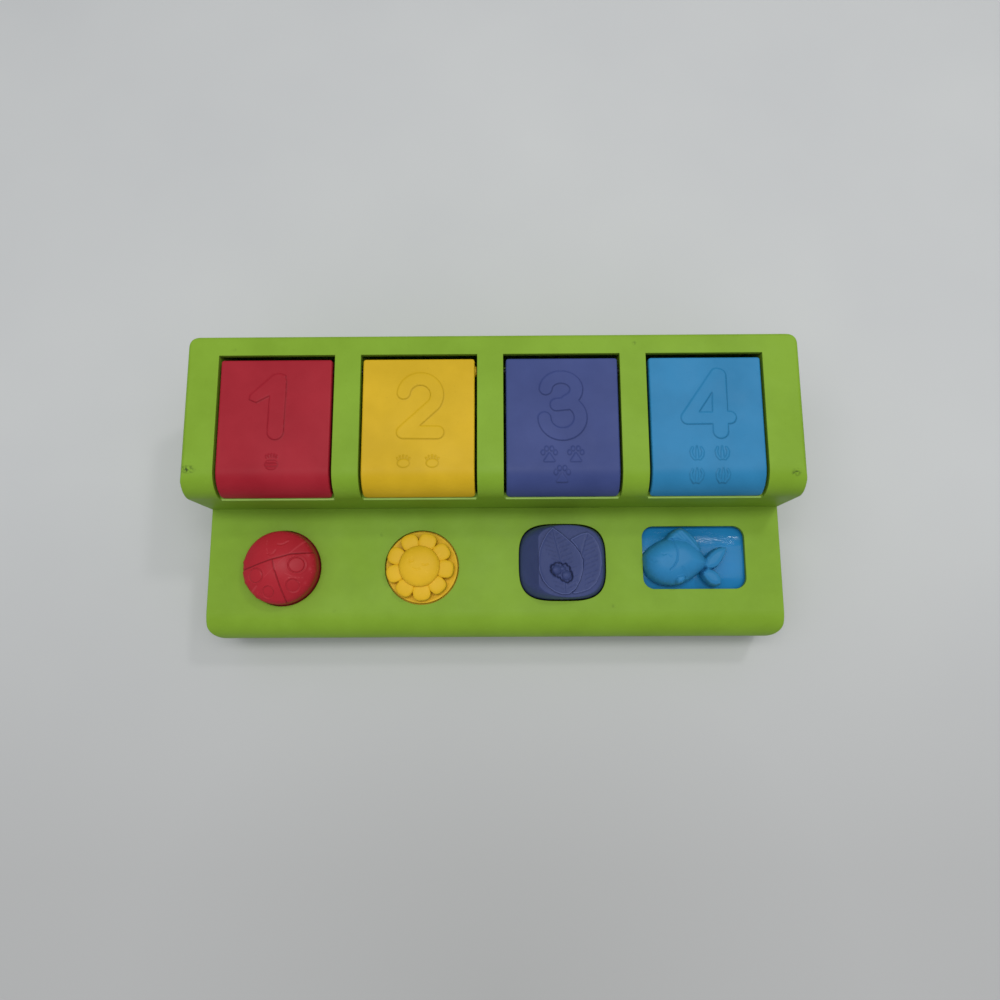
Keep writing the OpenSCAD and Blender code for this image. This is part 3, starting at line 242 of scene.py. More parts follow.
for key, label, colour in (("bear", "bear", (142, 92, 52)), ("bear_pale", "bear_muzzle", (196, 158, 112)),
                           ("elephant", "elephant", (142, 152, 166)),
                           ("elephant_pale", "elephant_ear", (206, 160, 168)),
                           ("cat", "cat", (216, 138, 58)), ("cat_pale", "cat_muzzle", (240, 226, 204)),
                           ("duck", "duck", (236, 204, 66))):
    MAT[key] = plastic(f"{label}_plastic", colour, rough=0.5, grain=0.2)
for key in ("green", "base", "grey", "nylon"):
    soft_edges(MAT[key], 0.45)


# ---- mesh helpers ----

def make(name, verts, faces, mat, body, nodes=(), shade_angle=None, groove=None):
    """One piece from points in millimetres; faces is a list of index tuples or an (n, 4) array."""
    me = bpy.data.meshes.new(name)
    me.from_pydata((np.asarray(verts, float) * MM).tolist(), [], [tuple(f) for f in faces])
    me.validate()
    me.update()
    me.polygons.foreach_set("use_smooth", np.ones(len(me.polygons), bool))
    if shade_angle is not None:
        me.set_sharp_from_angle(angle=math.radians(shade_angle))
    me.materials.append(mat)
    if groove is not None:
        full = np.zeros(len(me.vertices), np.float32)
        full[:len(groove)] = groove
        me.attributes.new("groove", "FLOAT", "POINT").data.foreach_set("value", full)
    ob = bpy.data.objects.new(name, me)
    bpy.context.scene.collection.objects.link(ob)
    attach(ob, body)
    if nodes:
        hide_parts(*nodes)
    return ob


class Shape:
    """Points and faces of several closed shells, in millimetres."""

    def __init__(self):
        self.v, self.f, self.n = [], [], 0

    def add(self, verts, faces):
        verts = np.asarray(verts, float).reshape(-1, 3)
        self.v.append(verts)
        self.f += [tuple(int(i) + self.n for i in face) for face in faces]
        self.n += len(verts)
        return self

    def verts(self):
        return np.concatenate(self.v)


def grid_faces(n, m, wrap=False):
    """Quads of an n by m grid of points; wrap joins the last column to the first."""
    cols = m if wrap else m - 1
    i, j = np.meshgrid(np.arange(n - 1), np.arange(cols), indexing="ij")
    i, j = i.ravel(), j.ravel()
    k = (j + 1) % m
    return np.stack([i * m + j, i * m + k, (i + 1) * m + k, (i + 1) * m + j], 1)


def sheet(outer, inner):
    """Closed shell from two matching grids of points: faces of both sides and a rim."""
    n, m = outer.shape[:2]
    q = grid_faces(n, m)
    rim = ([(0, j) for j in range(m)] + [(i, m - 1) for i in range(1, n)]
           + [(n - 1, j) for j in range(m - 2, -1, -1)] + [(i, 0) for i in range(n - 2, 0, -1)])
    idx = [i * m + j for i, j in rim]
    s = n * m
    sides = [(idx[k], idx[(k + 1) % len(idx)], idx[(k + 1) % len(idx)] + s, idx[k] + s)
             for k in range(len(idx))]
    faces = [tuple(f) for f in q[:, ::-1]] + [tuple(f) for f in q + s] + sides
    return np.concatenate([outer.reshape(-1, 3), inner.reshape(-1, 3)]), faces


def lathe(profile, centre, steps=96, axis="z"):
    """Revolves (radius, height) points; a radius of 0 closes an end."""
    verts, rings = [], []
    for r, h in profile:
        if r < 1e-6:
            rings.append([len(verts)])
            verts.append((0, 0, h))
        else:
            rings.append(list(range(len(verts), len(verts) + steps)))
            a = np.arange(steps) * 2 * math.pi / steps
            verts += [(r * math.cos(t), r * math.sin(t), h) for t in a]
    faces = []
    for lo, hi in zip(rings, rings[1:]):
        if len(lo) == 1 and len(hi) == 1:
            continue
        for k in range(steps):
            j = (k + 1) % steps
            if len(lo) == 1:
                faces.append((lo[0], hi[j], hi[k]))
            elif len(hi) == 1:
                faces.append((lo[k], lo[j], hi[0]))
            else:
                faces.append((lo[k], lo[j], hi[j], hi[k]))
    v = np.array(verts, float)
    if axis == "x":
        v = v[:, [2, 0, 1]]
    if axis == "y":
        v = v[:, [1, 2, 0]]
    return v + np.asarray(centre, float), faces


def rod(r, length, centre, axis="z", steps=48):
    """Cylinder with rounded rims from centre along the axis."""
    b = min(0.3, r * 0.5, length * 0.4)
    rim = [(r - b + b * math.sin(a), b - b * math.cos(a)) for a in np.linspace(0, math.pi / 2, 4)]
    profile = [(0, 0)] + rim + [(x, length - h) for x, h in reversed(rim)] + [(0, length)]
    return lathe(profile, centre, steps, axis)


def brick(low, high, bevel=0.4, segments=2):
    """Box with rounded edges, as points and faces."""
    bm = bmesh.new()
    bmesh.ops.create_cube(bm, size=1.0)
    low, high = np.asarray(low, float), np.asarray(high, float)
    for v in bm.verts:
        v.co = [(lo + hi) / 2 + (hi - lo) * c for lo, hi, c in zip(low, high, v.co)]
    b = min(bevel, float((high - low).min()) * 0.35)
    bmesh.ops.bevel(bm, geom=list(bm.edges) + list(bm.verts), offset=b, segments=segments,
                    profile=0.5, affect="EDGES")
    v = [tuple(x.co) for x in bm.verts]
    bm.verts.index_update()
    f = [tuple(x.index for x in face.verts) for face in bm.faces]
    bm.free()
    return np.array(v), f


def tube(path, r, sides=10):
    """Round wire along a path of points, with flat ends."""
    p = np.asarray(path, float)
    d = np.gradient(p, axis=0)
    d /= np.linalg.norm(d, axis=1)[:, None]
    u = np.cross(d[0], [0.3, 0.5, 0.81])
    rings = []
    for i in range(len(p)):
        u = u - d[i] * (u @ d[i])
        u /= np.linalg.norm(u)
        w = np.cross(d[i], u)
        a = np.arange(sides) * 2 * math.pi / sides
        rings.append(p[i] + r * (np.cos(a)[:, None] * u + np.sin(a)[:, None] * w))
    v = np.array(rings)
    f = [tuple(x) for x in grid_faces(len(p), sides, wrap=True)]
    f += [tuple(range(sides))[::-1], tuple((len(p) - 1) * sides + k for k in range(sides))]
    return v.reshape(-1, 3), f


def coil_path(r, wire, length, turns):
    """Closed-end compression coil along +Z from 0 to length, seated flat at both ends."""
    per_turn = 28
    n = turns * per_turn
    k = np.arange(n + 1) / n
    flat = 0.75 / turns
    ramp_k = np.clip((k - flat) / (1 - 2 * flat), 0, 1)
    z = wire + (length - 2 * wire) * ramp_k
    a = 2 * math.pi * turns * k
    return np.stack([r * np.cos(a), r * np.sin(a), z], 1)


def crowned(top, rings):
    """Skin closed at its top: one point over an (n, steps, 3) grid of rings."""
    n, steps = rings.shape[:2]
    faces = [(0, 1 + k, 1 + (k + 1) % steps) for k in range(steps)]
    faces += [tuple(q) for q in grid_faces(n, steps, wrap=True) + 1]
    return np.concatenate([[top], rings.reshape(-1, 3)]), faces


def bell(d, w):
    """1 at a distance of 0, fading over the width w."""
    return np.exp(-(d / w) ** 2)


def cut(d, w, depth):
    """A groove of that width and depth along the distance 0."""
    return -depth * bell(d, w)


def smooth_min(a, b, k):
    """The lower of two heights, blended over k where they cross."""
    blend = np.clip(0.5 + 0.5 * (a - b) / k, 0, 1)
    return a * (1 - blend) + b * blend - k * blend * (1 - blend)


def smooth_step(x, a, b):
    t = np.clip((x - a) / (b - a), 0, 1)
    return t * t * (3 - 2 * t)


def sin_cos(degrees):
    return math.sin(math.radians(degrees)), math.cos(math.radians(degrees))


def seg(x, y, a, b):
    """Distance from (x, y) to the straight line between two points."""
    ax, ay = a
    dx, dy = b[0] - ax, b[1] - ay
    t = np.clip(((x - ax) * dx + (y - ay) * dy) / (dx * dx + dy * dy), 0, 1)
    return np.hypot(x - ax - t * dx, y - ay - t * dy)


def path_dist(x, y, pts):
    return np.min([seg(x, y, a, b) for a, b in zip(pts, pts[1:])], axis=0)


def arc(x, y, c, r, a0, a1):
    """Distance to the arc about c of radius r from angle a0 to a1, in degrees."""
    ang = np.degrees(np.arctan2(y - c[1], x - c[0]))
    rel = (ang - a0) % 360
    on = rel <= (a1 - a0)
    ends = [np.hypot(x - c[0] - r * math.cos(math.radians(e)), y - c[1] - r * math.sin(math.radians(e)))
            for e in (a0, a1)]
    return np.where(on, np.abs(np.hypot(x - c[0], y - c[1]) - r), np.minimum(*ends))


def inside(x, y, pts):
    """Signed distance to a closed polygon, positive inside."""
    pts = [tuple(p) for p in pts]
    d = path_dist(x, y, pts + pts[:1])
    inn = np.zeros(x.shape, bool)
    for (x0, y0), (x1, y1) in zip(pts, pts[1:] + pts[:1]):
        if y0 == y1:
            continue
        cross = (y0 > y) != (y1 > y)
        inn ^= cross & (x < (x1 - x0) * (y - y0) / (y1 - y0) + x0)
    return np.where(inn, d, -d)


# ---- lids ----

def pad(x, y, cx, cy, rx, ry):
    """Inside distance of an ellipse, near enough for small marks."""
    return (1 - np.hypot((x - cx) / rx, (y - cy) / ry)) * min(rx, ry)


def numeral(i, x, y):
    """Inside distance of the numeral of lid i; x from the middle of the lid."""
    if i == 0:
        stem = 3.95 - seg(x, y, (0.9, 24.9), (1.4, 50.0))
        flag = inside(x, y, [(-3.0, 43.3), (-9.2, 40.0), (-12.3, 41.4), (-11.9, 43.4), (-1.0, 53.6),
                             (2.0, 54.2), (4.6, 53.2), (4.0, 46.0)])
        return np.maximum(stem, flag + 0.3)
    if i == 1:
        w = 3.2
        return np.maximum.reduce([w - arc(x, y, (0.9, 43.0), 8.2, -38, 172),
                                  w - seg(x, y, (7.4, 38.0), (-7.0, 24.6)),
                                  w - seg(x, y, (-7.2, 24.3), (9.4, 24.1))])
    if i == 2:
        w = 3.15
        bowls = []
        for c, r, a0, a1 in (((-0.5, 45.4), (7.5, 6.3), -66, 176), ((0.0, 31.2), (8.8, 8.3), -178, 64)):
            t = np.radians(np.linspace(a0, a1, 26))
            bowls.append(w - path_dist(x, y, list(zip(c[0] + r[0] * np.cos(t), c[1] + r[1] * np.sin(t)))))
        return np.maximum.reduce(bowls + [w - seg(x, y, (-2.8, 37.7), (2.4, 38.2))])
    w = 3.1
    bars = np.maximum.reduce([w - seg(x, y, (5.6, 52.6), (-9.6, 30.8)),
                              w - seg(x, y, (-9.6, 30.6), (10.9, 30.7)),
                              w + 0.6 - seg(x, y, (6.4, 51.8), (6.2, 24.0))])
    fill = inside(x, y, [(6.0, 54.0), (-10.5, 30.0), (6.0, 30.0)])
    hole = inside(x, y, [(3.0, 43.6), (-3.9, 33.5), (2.6, 33.5)])
    return np.minimum(np.maximum(bars, fill), -hole)


def prints(i, x, y):
    """Inside distance of the small paw prints of lid i."""
    d = np.full(x.shape, -9.0)
    if i == 0:
        d = np.maximum(d, np.minimum(pad(x, y, -0.3, 8.6, 3.1, 2.5), 0.35 * np.cos(3.9 * (y - 8.4)) + 0.12))
        for a in (-38, -19, 0, 19, 38):
            s, c = sin_cos(a)
            toe = seg(x, y, (3.9 * s - 0.3, 10.0 + 2.6 * c), (4.2 * s - 0.3, 10.2 + 3.5 * c))
            d = np.maximum(d, 0.33 - toe)
    if i == 1:
        for cx in (-6.8, 7.1):
            d = np.maximum(d, pad(x, y, cx, 8.9, 2.9, 2.1))
            for a in (-52, -26, 0, 26, 52):
                s, c = sin_cos(a)
                toe = seg(x, y, (cx + 3.3 * s, 9.3 + 2.4 * c), (cx + 3.8 * s, 9.5 + 3.2 * c))
                d = np.maximum(d, 0.34 - toe)
    if i == 2:
        for cx, cy in ((-6.7, 12.2), (6.1, 12.2), (-0.6, 2.6)):
            heel = inside(x, y, [(cx - 2.3, cy - 2.6), (cx + 2.3, cy - 2.6), (cx, cy + 1.0)])
            d = np.maximum(d, heel + 0.45)
            for a, rr in ((-62, 3.4), (-20, 3.7), (20, 3.7), (62, 3.4)):
                s, c = sin_cos(a)
                d = np.maximum(d, pad(x, y, cx + rr * s, cy + rr * c, 0.95, 1.25))
    if i == 3:
        for cx, cy in ((-5.8, 13.4), (6.3, 13.4), (-6.2, 2.6), (6.4, 2.6)):
            d = np.maximum(d, 0.72 - path_dist(x, y, [(cx, cy - 2.9), (cx, cy - 0.6), (cx, cy + 3.3)])
                           - 0.16 * np.maximum(y - cy, 0))
            for e in (-1, 1):
                claw = [(cx + 1.2 * e, cy - 3.2), (cx + 2.5 * e, cy - 1.6), (cx + 2.9 * e, cy + 0.6),
                        (cx + 2.1 * e, cy + 2.4)]
                d = np.maximum(d, 0.62 - path_dist(x, y, claw) - 0.06 * np.maximum(y - cy, 0))
    return d


NOSE_R, LID_W, LID_T = 13.0, 54.9, 2.4
NOSE_Y, NOSE_Z = STEP_Y + NOSE_R, BOX_H - NOSE_R
ARC0 = math.asin((72.4 - NOSE_Z) / NOSE_R)
ARC_LEN = NOSE_R * (math.pi / 2 - ARC0)
LID_LEN = ARC_LEN + (LID_BACK - NOSE_Y)


def lid_surface(s, depth):
    """Point (Y, Z) and outward normal at the length s from the front edge, depth below the skin."""
    a = np.where(s < ARC_LEN, ARC0 + s / NOSE_R, math.pi / 2)
    ny, nz = -np.cos(a), np.sin(a)
    y = NOSE_Y + NOSE_R * ny + np.maximum(s - ARC_LEN, 0)
    z = NOSE_Z + NOSE_R * nz
    return y - depth * ny, z - depth * nz


def lid_grid(step, depth_at, lane):
    """Grid of points over a lid, depth_at(x, y, distance to the rim) below its skin."""
    half = LID_LEN / 2
    xs = np.linspace(-LID_W / 2, LID_W / 2, int(LID_W / step) + 1)
    s, x = np.meshgrid(np.linspace(0, LID_LEN, int(LID_LEN / step) + 1), xs, indexing="ij")
    # draw the corners of the grid onto a rounded rectangle, rounder in front
    rc = np.where(s < half, 2.7, 1.4)
    qx, qs = np.abs(x) - (LID_W / 2 - rc), np.abs(s - half) - (half - rc)
    out = np.hypot(np.maximum(qx, 0), np.maximum(qs, 0))
    k = np.where((qx > 0) & (qs > 0) & (out > rc), rc / np.maximum(out, 1e-6), 1.0)
    x = np.sign(x) * np.where(k < 1, LID_W / 2 - rc + np.maximum(qx, 0) * k, np.abs(x))
    s = half + np.sign(s - half) * np.where(k < 1, half - rc + np.maximum(qs, 0) * k, np.abs(s - half))
    qx, qs = np.abs(x) - (LID_W / 2 - rc), np.abs(s - half) - (half - rc)
    rim = rc - np.hypot(np.maximum(qx, 0), np.maximum(qs, 0)) - np.minimum(np.maximum(qx, qs), 0)
    y0, _ = lid_surface(s, 0 * s)
    y, z = lid_surface(s, depth_at(x, y0, np.maximum(rim, 0)))
    return np.stack([x + lane, y, z], -1)


def rim_drop(rim, r=0.7):
    e = np.clip(r - rim, 0, r)
    return r - np.sqrt(np.maximum(r * r - e * e, 0))


def build_lid(i):
    hue, lane = HUES[i], LANE[i]
    step = 0.36

    def skin(x, y, rim):
        high = 0.5 * smooth_step(numeral(i, x, y), -0.22, 0.28)
        high += 0.38 * smooth_step(prints(i, x, y), -0.16, 0.26)
        # the skin sinks a little beside the raised marks, as moulded marks draw it in
        return rim_drop(rim) - high

    outer = lid_grid(step, skin, lane)
    sx, sy = outer[..., 0] - lane, outer[..., 1]
    # painted shade along the numeral and print outlines, stronger on the edges that face the front
    slope = (numeral(i, sx - 0.12, sy + 0.2) - numeral(i, sx + 0.12, sy - 0.2)) / 0.47
    line = (0.62 + 0.45 * slope) * bell(numeral(i, sx, sy) + 0.12, 0.26)
    line = np.maximum(line, 0.55 * bell(prints(i, sx, sy) + 0.1, 0.22))
    inner = lid_grid(step, lambda x, y, rim: LID_T + 0 * x, lane)
    shape = Shape().add(*sheet(outer, inner))
    # side flanges under the lid
    for side in (-1, 1):
        ss = np.linspace(0.6, LID_LEN - 0.6, 48)
        rows = []
        for dx in (-0.95, 0.95):
            for depth in (LID_T - 0.3, LID_T + 3.5):
                y, z = lid_surface(ss, np.full(ss.shape, depth))
                rows.append(np.stack([np.full(ss.shape, lane + side * (LID_W / 2 - 1.05) + dx), y, z], 1))
        loop = np.stack([rows[0], rows[1], rows[3], rows[2]], 1)
        f = [tuple(q) for q in grid_faces(len(ss), 4, wrap=True)]
        f += [(3, 2, 1, 0), tuple((len(ss) - 1) * 4 + k for k in range(4))]
        shape.add(loop, f)
        ear_left = lane + side * 24.5 - 2.0
        ring = [(PIN_BORE, 0.0), (3.15, 0.0), (3.4, 0.25), (3.4, EAR_LEN - 0.25), (3.15, EAR_LEN),
                (PIN_BORE, EAR_LEN), (PIN_BORE, 0.0)]
        shape.add(*lathe(ring, (ear_left, HINGE_Y, HINGE_Z), 40, "x"))
        if i == 1 and side == 1:
            # the boss on this side runs on to the edge of the opening
            boss = [(PIN_BORE, 0.0), (2.7, 0.0), (2.7, 1.65), (2.5, 1.8), (PIN_BORE, 1.8), (PIN_BORE, 0.0)]
            shape.add(*lathe(boss, (ear_left + EAR_LEN, HINGE_Y, HINGE_Z), 40, "x"))
        for dy in (-3.4, 1.55):
            shape.add(*brick((ear_left, HINGE_Y + dy, HINGE_Z + 0.2),
                             (ear_left + EAR_LEN, HINGE_Y + dy + 1.85, BOX_H - LID_T + 0.2), 0.2))
    make(f"{hue}_lid_shell", shape.verts(), shape.f, MAT[hue], f"{hue}_lid", [f"{hue}_lid"],
         shade_angle=48, groove=line.ravel())


for lid_index in range(4):
    build_lid(lid_index)


# ---- ladybug button ----

# middle, radius and height of the spots, raised or sunk
BUG_SPOTS = [(-10.5, -4.8, 3.5, 0.32), (-4.0, -13.1, 2.6, -0.36), (8.6, -9.9, 2.9, -0.42),
             (10.4, 0.6, 3.8, 0.36)]
BUG_HEAD = [(-19.5, -2.2), (-17.4, -1.5), (-11.6, 0.3), (-3.6, 3.1), (3.9, 5.2), (7.3, 6.3), (15.7, 7.1),
            (19.4, 7.4)]
BUG_WING = [(-1.6, 3.4), (-1.2, 1.6), (-0.2, -2.6), (2.1, -9.8), (4.5, -16.9), (4.9, -19.5)]
BUG_FACE = [[(0.2, 11.3), (1.8, 11.2), (3.2, 11.6), (5.3, 13.0)],
            [(-4.6, 6.4), (-3.2, 5.9), (-1.7, 6.3), (-0.4, 8.2)]]
BUG_FEET = [(15.2, 5.8), (16.4, -1.5), (13.6, -8.3), (-10.0, -14.2), (-15.6, -7.4), (-16.6, 2.4)]


def bug_profile(n_cap=60, n_edge=26, n_wall=16):
    """(radius, height, normal) along the button from its top to its flange."""
    r, edge, dome, top = 19.3, 4.5, 6.5, LEDGE_H + 15.0
    cap = (r * r + dome * dome) / (2 * dome)
    a1 = math.asin((r - edge) / (cap - edge))
    pts = [(cap * math.sin(a), top - cap + cap * math.cos(a), math.sin(a), math.cos(a))
           for a in np.linspace(0, a1, n_cap)[1:]]
    cz = top - cap + (cap - edge) * math.cos(a1)
    pts += [(r - edge + edge * math.sin(a), cz + edge * math.cos(a), math.sin(a), math.cos(a))
            for a in np.linspace(a1, math.pi / 2, n_edge)[1:]]
    pts += [(r, z, 1.0, 0.0) for z in np.linspace(cz, 35.0, n_wall)[1:]]
    return np.array(pts), top


def build_bug():
    prof, top = bug_profile()
    steps = 420
    a = np.arange(steps) * 2 * math.pi / steps
    r, z, nr, nz = (prof[:, k][:, None] for k in range(4))
    x, y = r * np.cos(a), r * np.sin(a)
    h = np.zeros(x.shape)
    above = smooth_step(z + 0 * x, LEDGE_H + 2.0, LEDGE_H + 5.0)
    h += cut(path_dist(x, y, BUG_HEAD), 0.32, 0.5)
    h += cut(path_dist(x, y, BUG_WING[2:]), 0.34, 0.45)
    h += 0.28 * bell(path_dist(x, y, BUG_WING[:3]), 0.5)
    # the head lies a little lower than the wing cases
    side = np.interp(x, *zip(*BUG_HEAD))
    h -= 0.28 * smooth_step(y - side, -0.1, 0.5)
    for cx, cy, rad, lift in BUG_SPOTS:
        d = np.hypot(x - cx, y - cy)
        h += lift * 0.6 * smooth_step(rad - d, -0.25, 0.35)
        h += cut(d - rad - 0.2, 0.32, 0.3) + 0.12 * bell(d - rad - 0.9, 0.4)
    for mark in BUG_FACE:
        h += cut(path_dist(x, y, mark), 0.34, 0.36)
    h += 0.3 * bell(np.hypot(x - 5.0, y - 13.3), 0.7)
    for cx, cy in BUG_FEET:
        ang = math.atan2(cy, cx)
        c, e = math.cos(ang), math.sin(ang)
        d = seg(x, y, (17.2 * c, 17.2 * e), (19.4 * c, 19.4 * e))
        h += 0.34 * bell(d, 1.0) * smooth_step(np.hypot(x, y), 15.5, 17.5)
    h *= above
    # painted shade in the head line, the wing line and the rings round the spots
    dark = np.maximum(bell(path_dist(x, y, BUG_HEAD), 0.3), 0.7 * bell(path_dist(x, y, BUG_WING), 0.3))
    dark = dark * above
    for cx, cy, rad, _ in BUG_SPOTS:
        dark = np.maximum(dark, 0.3 * bell(np.hypot(x - cx, y - cy) - rad - 0.15, 0.3) * above)
    h = np.clip(h, -0.7, 0.55)
    pts = np.stack([BUG[0] + (r + nr * h) * np.cos(a), BUG[1] + (r + nr * h) * np.sin(a), z + nz * h], -1)
    shape = Shape().add(*crowned((BUG[0], BUG[1], top), pts))
    # stem, core and flange under the shell
    core = [(0, 10.5), (3.7, 10.5), (4.0, 10.8), (4.0, 31.2), (8.9, 31.2), (8.9, 51.1), (14.0, 49.2),
            (17.0, 46.0), (17.0, 37.1), (21.2, 37.1), (21.5, 36.8), (21.5, 35.1), (21.2, 34.8),
            (14.0, 34.8), (0, 34.8)]
    shape.add(*lathe(core, (BUG[0], BUG[1], 0)))
    return make("ladybug_shell", shape.verts(), shape.f, MAT["bug"], "button", (),
                shade_angle=60, groove=np.concatenate([[0], dark.ravel()]))


bug = build_bug()


# ---- flower dial ----

def squarish(q):
    """Turns a sine or cosine into that of a rounded square."""
    return np.sign(q) * np.abs(q) ** 0.78


def build_flower():
    shape = Shape()
    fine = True
    # disc with a rolled rim, shaft and flange
    shape.add(*lathe([(0, 4.0), (3.2, 4.0), (3.5, 4.3), (3.5, 34.8), (21.1, 34.8), (21.1, 37.1), (18.9, 37.1),
                      (18.9, 39.55), (18.75, 39.85), (18.4, 40.0), (17.9, 39.85), (12.0, 39.75), (0, 39.75)],
                     (FLOWER[0], FLOWER[1], 0), 128))
    # petals: plump flat-topped lobes round the heart, each a little lower at its tip
    rings, steps = (26, 56) if fine else (10, 24)
    hx, hy, disc = FLOWER[0] - 0.7, FLOWER[1] + 0.1, 39.7
    for k, deg in enumerate((112.5, 73.0, 32.8, -6.0, -46.5, -84.8, -124.0, -164.2, 156.0)):
        ang = math.radians(deg)
        cx, cy = 13.3 * math.cos(ang), 13.3 * math.sin(ang)
        rad, tall = 4.72 + 0.08 * math.sin(2.7 * k), 6.4 + 0.25 * math.cos(1.9 * k)
        t = np.linspace(0, 1, rings)[1:]
        prof_r = rad * np.minimum(1, np.sin(t * math.pi / 2) ** 0.6)
        prof_z = tall * (1 - 0.24 * t ** 2.6 - 0.76 * smooth_step(t, 0.74, 1.0))
        a = np.arange(steps) * 2 * math.pi / steps
        x = prof_r[:, None] * squarish(np.cos(a)) * 0.98
        y = prof_r[:, None] * squarish(np.sin(a)) * (1.0 + 0.03 * x / rad)
        z = prof_z[:, None] - 0.05 * np.maximum(x, 0) ** 1.4 * (prof_z[:, None] > 0.5)
        px = cx + x * math.cos(ang) - y * math.sin(ang)
        py = cy + x * math.sin(ang) + y * math.cos(ang)
        pts = np.stack([hx + px, hy + py, disc + np.maximum(z, 0)], -1)
        shape.add(*crowned((hx + cx, hy + cy, disc + tall), pts))
    # heart dome with faint sleepy marks
    rings, steps = (64, 200) if fine else (24, 64)
    t = np.linspace(0, 1, rings)[1:]
    ang = t * math.pi / 2
    a = np.arange(steps) * 2 * math.pi / steps
    rr = 10.75 * np.sin(ang) ** 0.86
    zz = 6.4 + 3.55 * np.cos(ang) ** 0.9
    wall = np.array([(10.85, 5.2), (10.85, 3.0), (10.8, 0.0)])
    rr, zz = np.concatenate([rr, wall[:, 0]]), np.concatenate([zz, wall[:, 1]])
    x, y = rr[:, None] * np.cos(a), rr[:, None] * np.sin(a)
    z = zz[:, None] + 0 * x
    marks = cut(path_dist(x, y, [(-5.4, 2.9), (-4.2, 2.2), (-3.0, 2.7)]), 0.42, 0.3)
    marks += cut(path_dist(x, y, [(1.9, 0.7), (3.3, 0.2), (4.9, 0.8)]), 0.36, 0.26)
    marks += cut(path_dist(x, y, [(-3.2, -1.4), (-1.3, -2.2), (0.6, -1.7)]), 0.4, 0.24)
    marks += 0.2 * bell(np.hypot(x + 4.2, y - 1.4), 0.8)
    z = z + marks * (np.hypot(x, y) < 9)
    shape.add(*crowned((hx, hy, disc + 9.95), np.stack([hx + x, hy + y, disc + z], -1)))
    # crank peg under the disc, at half the dial's turn from the X axis
    crank, travel = 8.5, 4.0
    half = math.asin(travel / (2 * crank))
    shape.add(*rod(2.0, 11.4, (FLOWER[0] + crank * math.cos(half), FLOWER[1] + crank * math.sin(half), 23.5)))
    make("flower_shell", shape.verts(), shape.f, MAT["flower"], "dial", ["flower_dial"],
         shade_angle=55)


build_flower()


# ---- leaf rocker ----

LEAF1 = [(-8.4, 17.5), (-11.3, 14.3), (-13.6, 10.1), (-15.2, 6.0), (-16.0, 1.8), (-16.1, -2.3),
         (-15.3, -6.4), (-13.6, -10.6), (-11.2, -13.7), (-7.7, -16.2), (-4.0, -17.5), (-0.3, -17.2),
         (2.9, -14.7), (5.4, -10.1), (6.9, -4.5), (6.9, 0.7), (5.5, 4.3), (2.9, 8.0), (-0.2, 11.1),
         (-3.9, 14.3)]
LEAF2 = [(10.0, 15.3), (13.1, 12.9), (15.4, 8.8), (16.8, 3.9), (17.0, -1.4), (15.9, -7.1), (13.6, -11.7),
         (10.2, -14.8), (6.0, -16.3), (2.4, -17.0), (0.6, -16.4), (4.8, -8.0), (6.6, -2.0), (6.3, 2.0),
         (3.2, 8.0), (0.3, 11.1), (3.0, 12.7), (6.2, 14.4)]
RIB1 = [(-8.4, 17.3), (-7.2, 11.2), (-5.4, 3.8), (-3.7, -3.4), (-2.2, -10.6), (-1.8, -17.4)]
RIB2 = [(9.6, 14.6), (8.4, 11.1), (7.1, 6.9), (6.3, 3.3)]
BERRIES = [(-6.5, -4.8, 2.55), (-1.7, -7.5, 2.6), (-3.6, -4.2, 1.7)]
NEST = [(-10.0, -4.6), (-9.2, -2.4), (-7.4, -1.5), (-5.5, -1.0), (-3.7, -2.0), (-2.0, -1.6), (0.0, -3.4),
        (0.7, -5.5), (1.7, -7.8), (0.6, -10.4), (-1.2, -11.1), (-3.6, -10.4), (-5.1, -8.8), (-7.0, -8.0),
        (-8.8, -7.1), (-10.0, -4.6)]


# the rocker's window, the gap around the rocker, and so its own half sizes
LEAF_W, LEAF_D, LEAF_GAP = 46.1, 40.8, 0.8
ROCKER_X, ROCKER_Y = LEAF_W / 2 - LEAF_GAP, LEAF_D / 2 - LEAF_GAP


def rocker_half(y):
    n = 3.4
    return ROCKER_X * np.maximum(0, 1 - (np.abs(y) / ROCKER_Y) ** n) ** (1 / n)


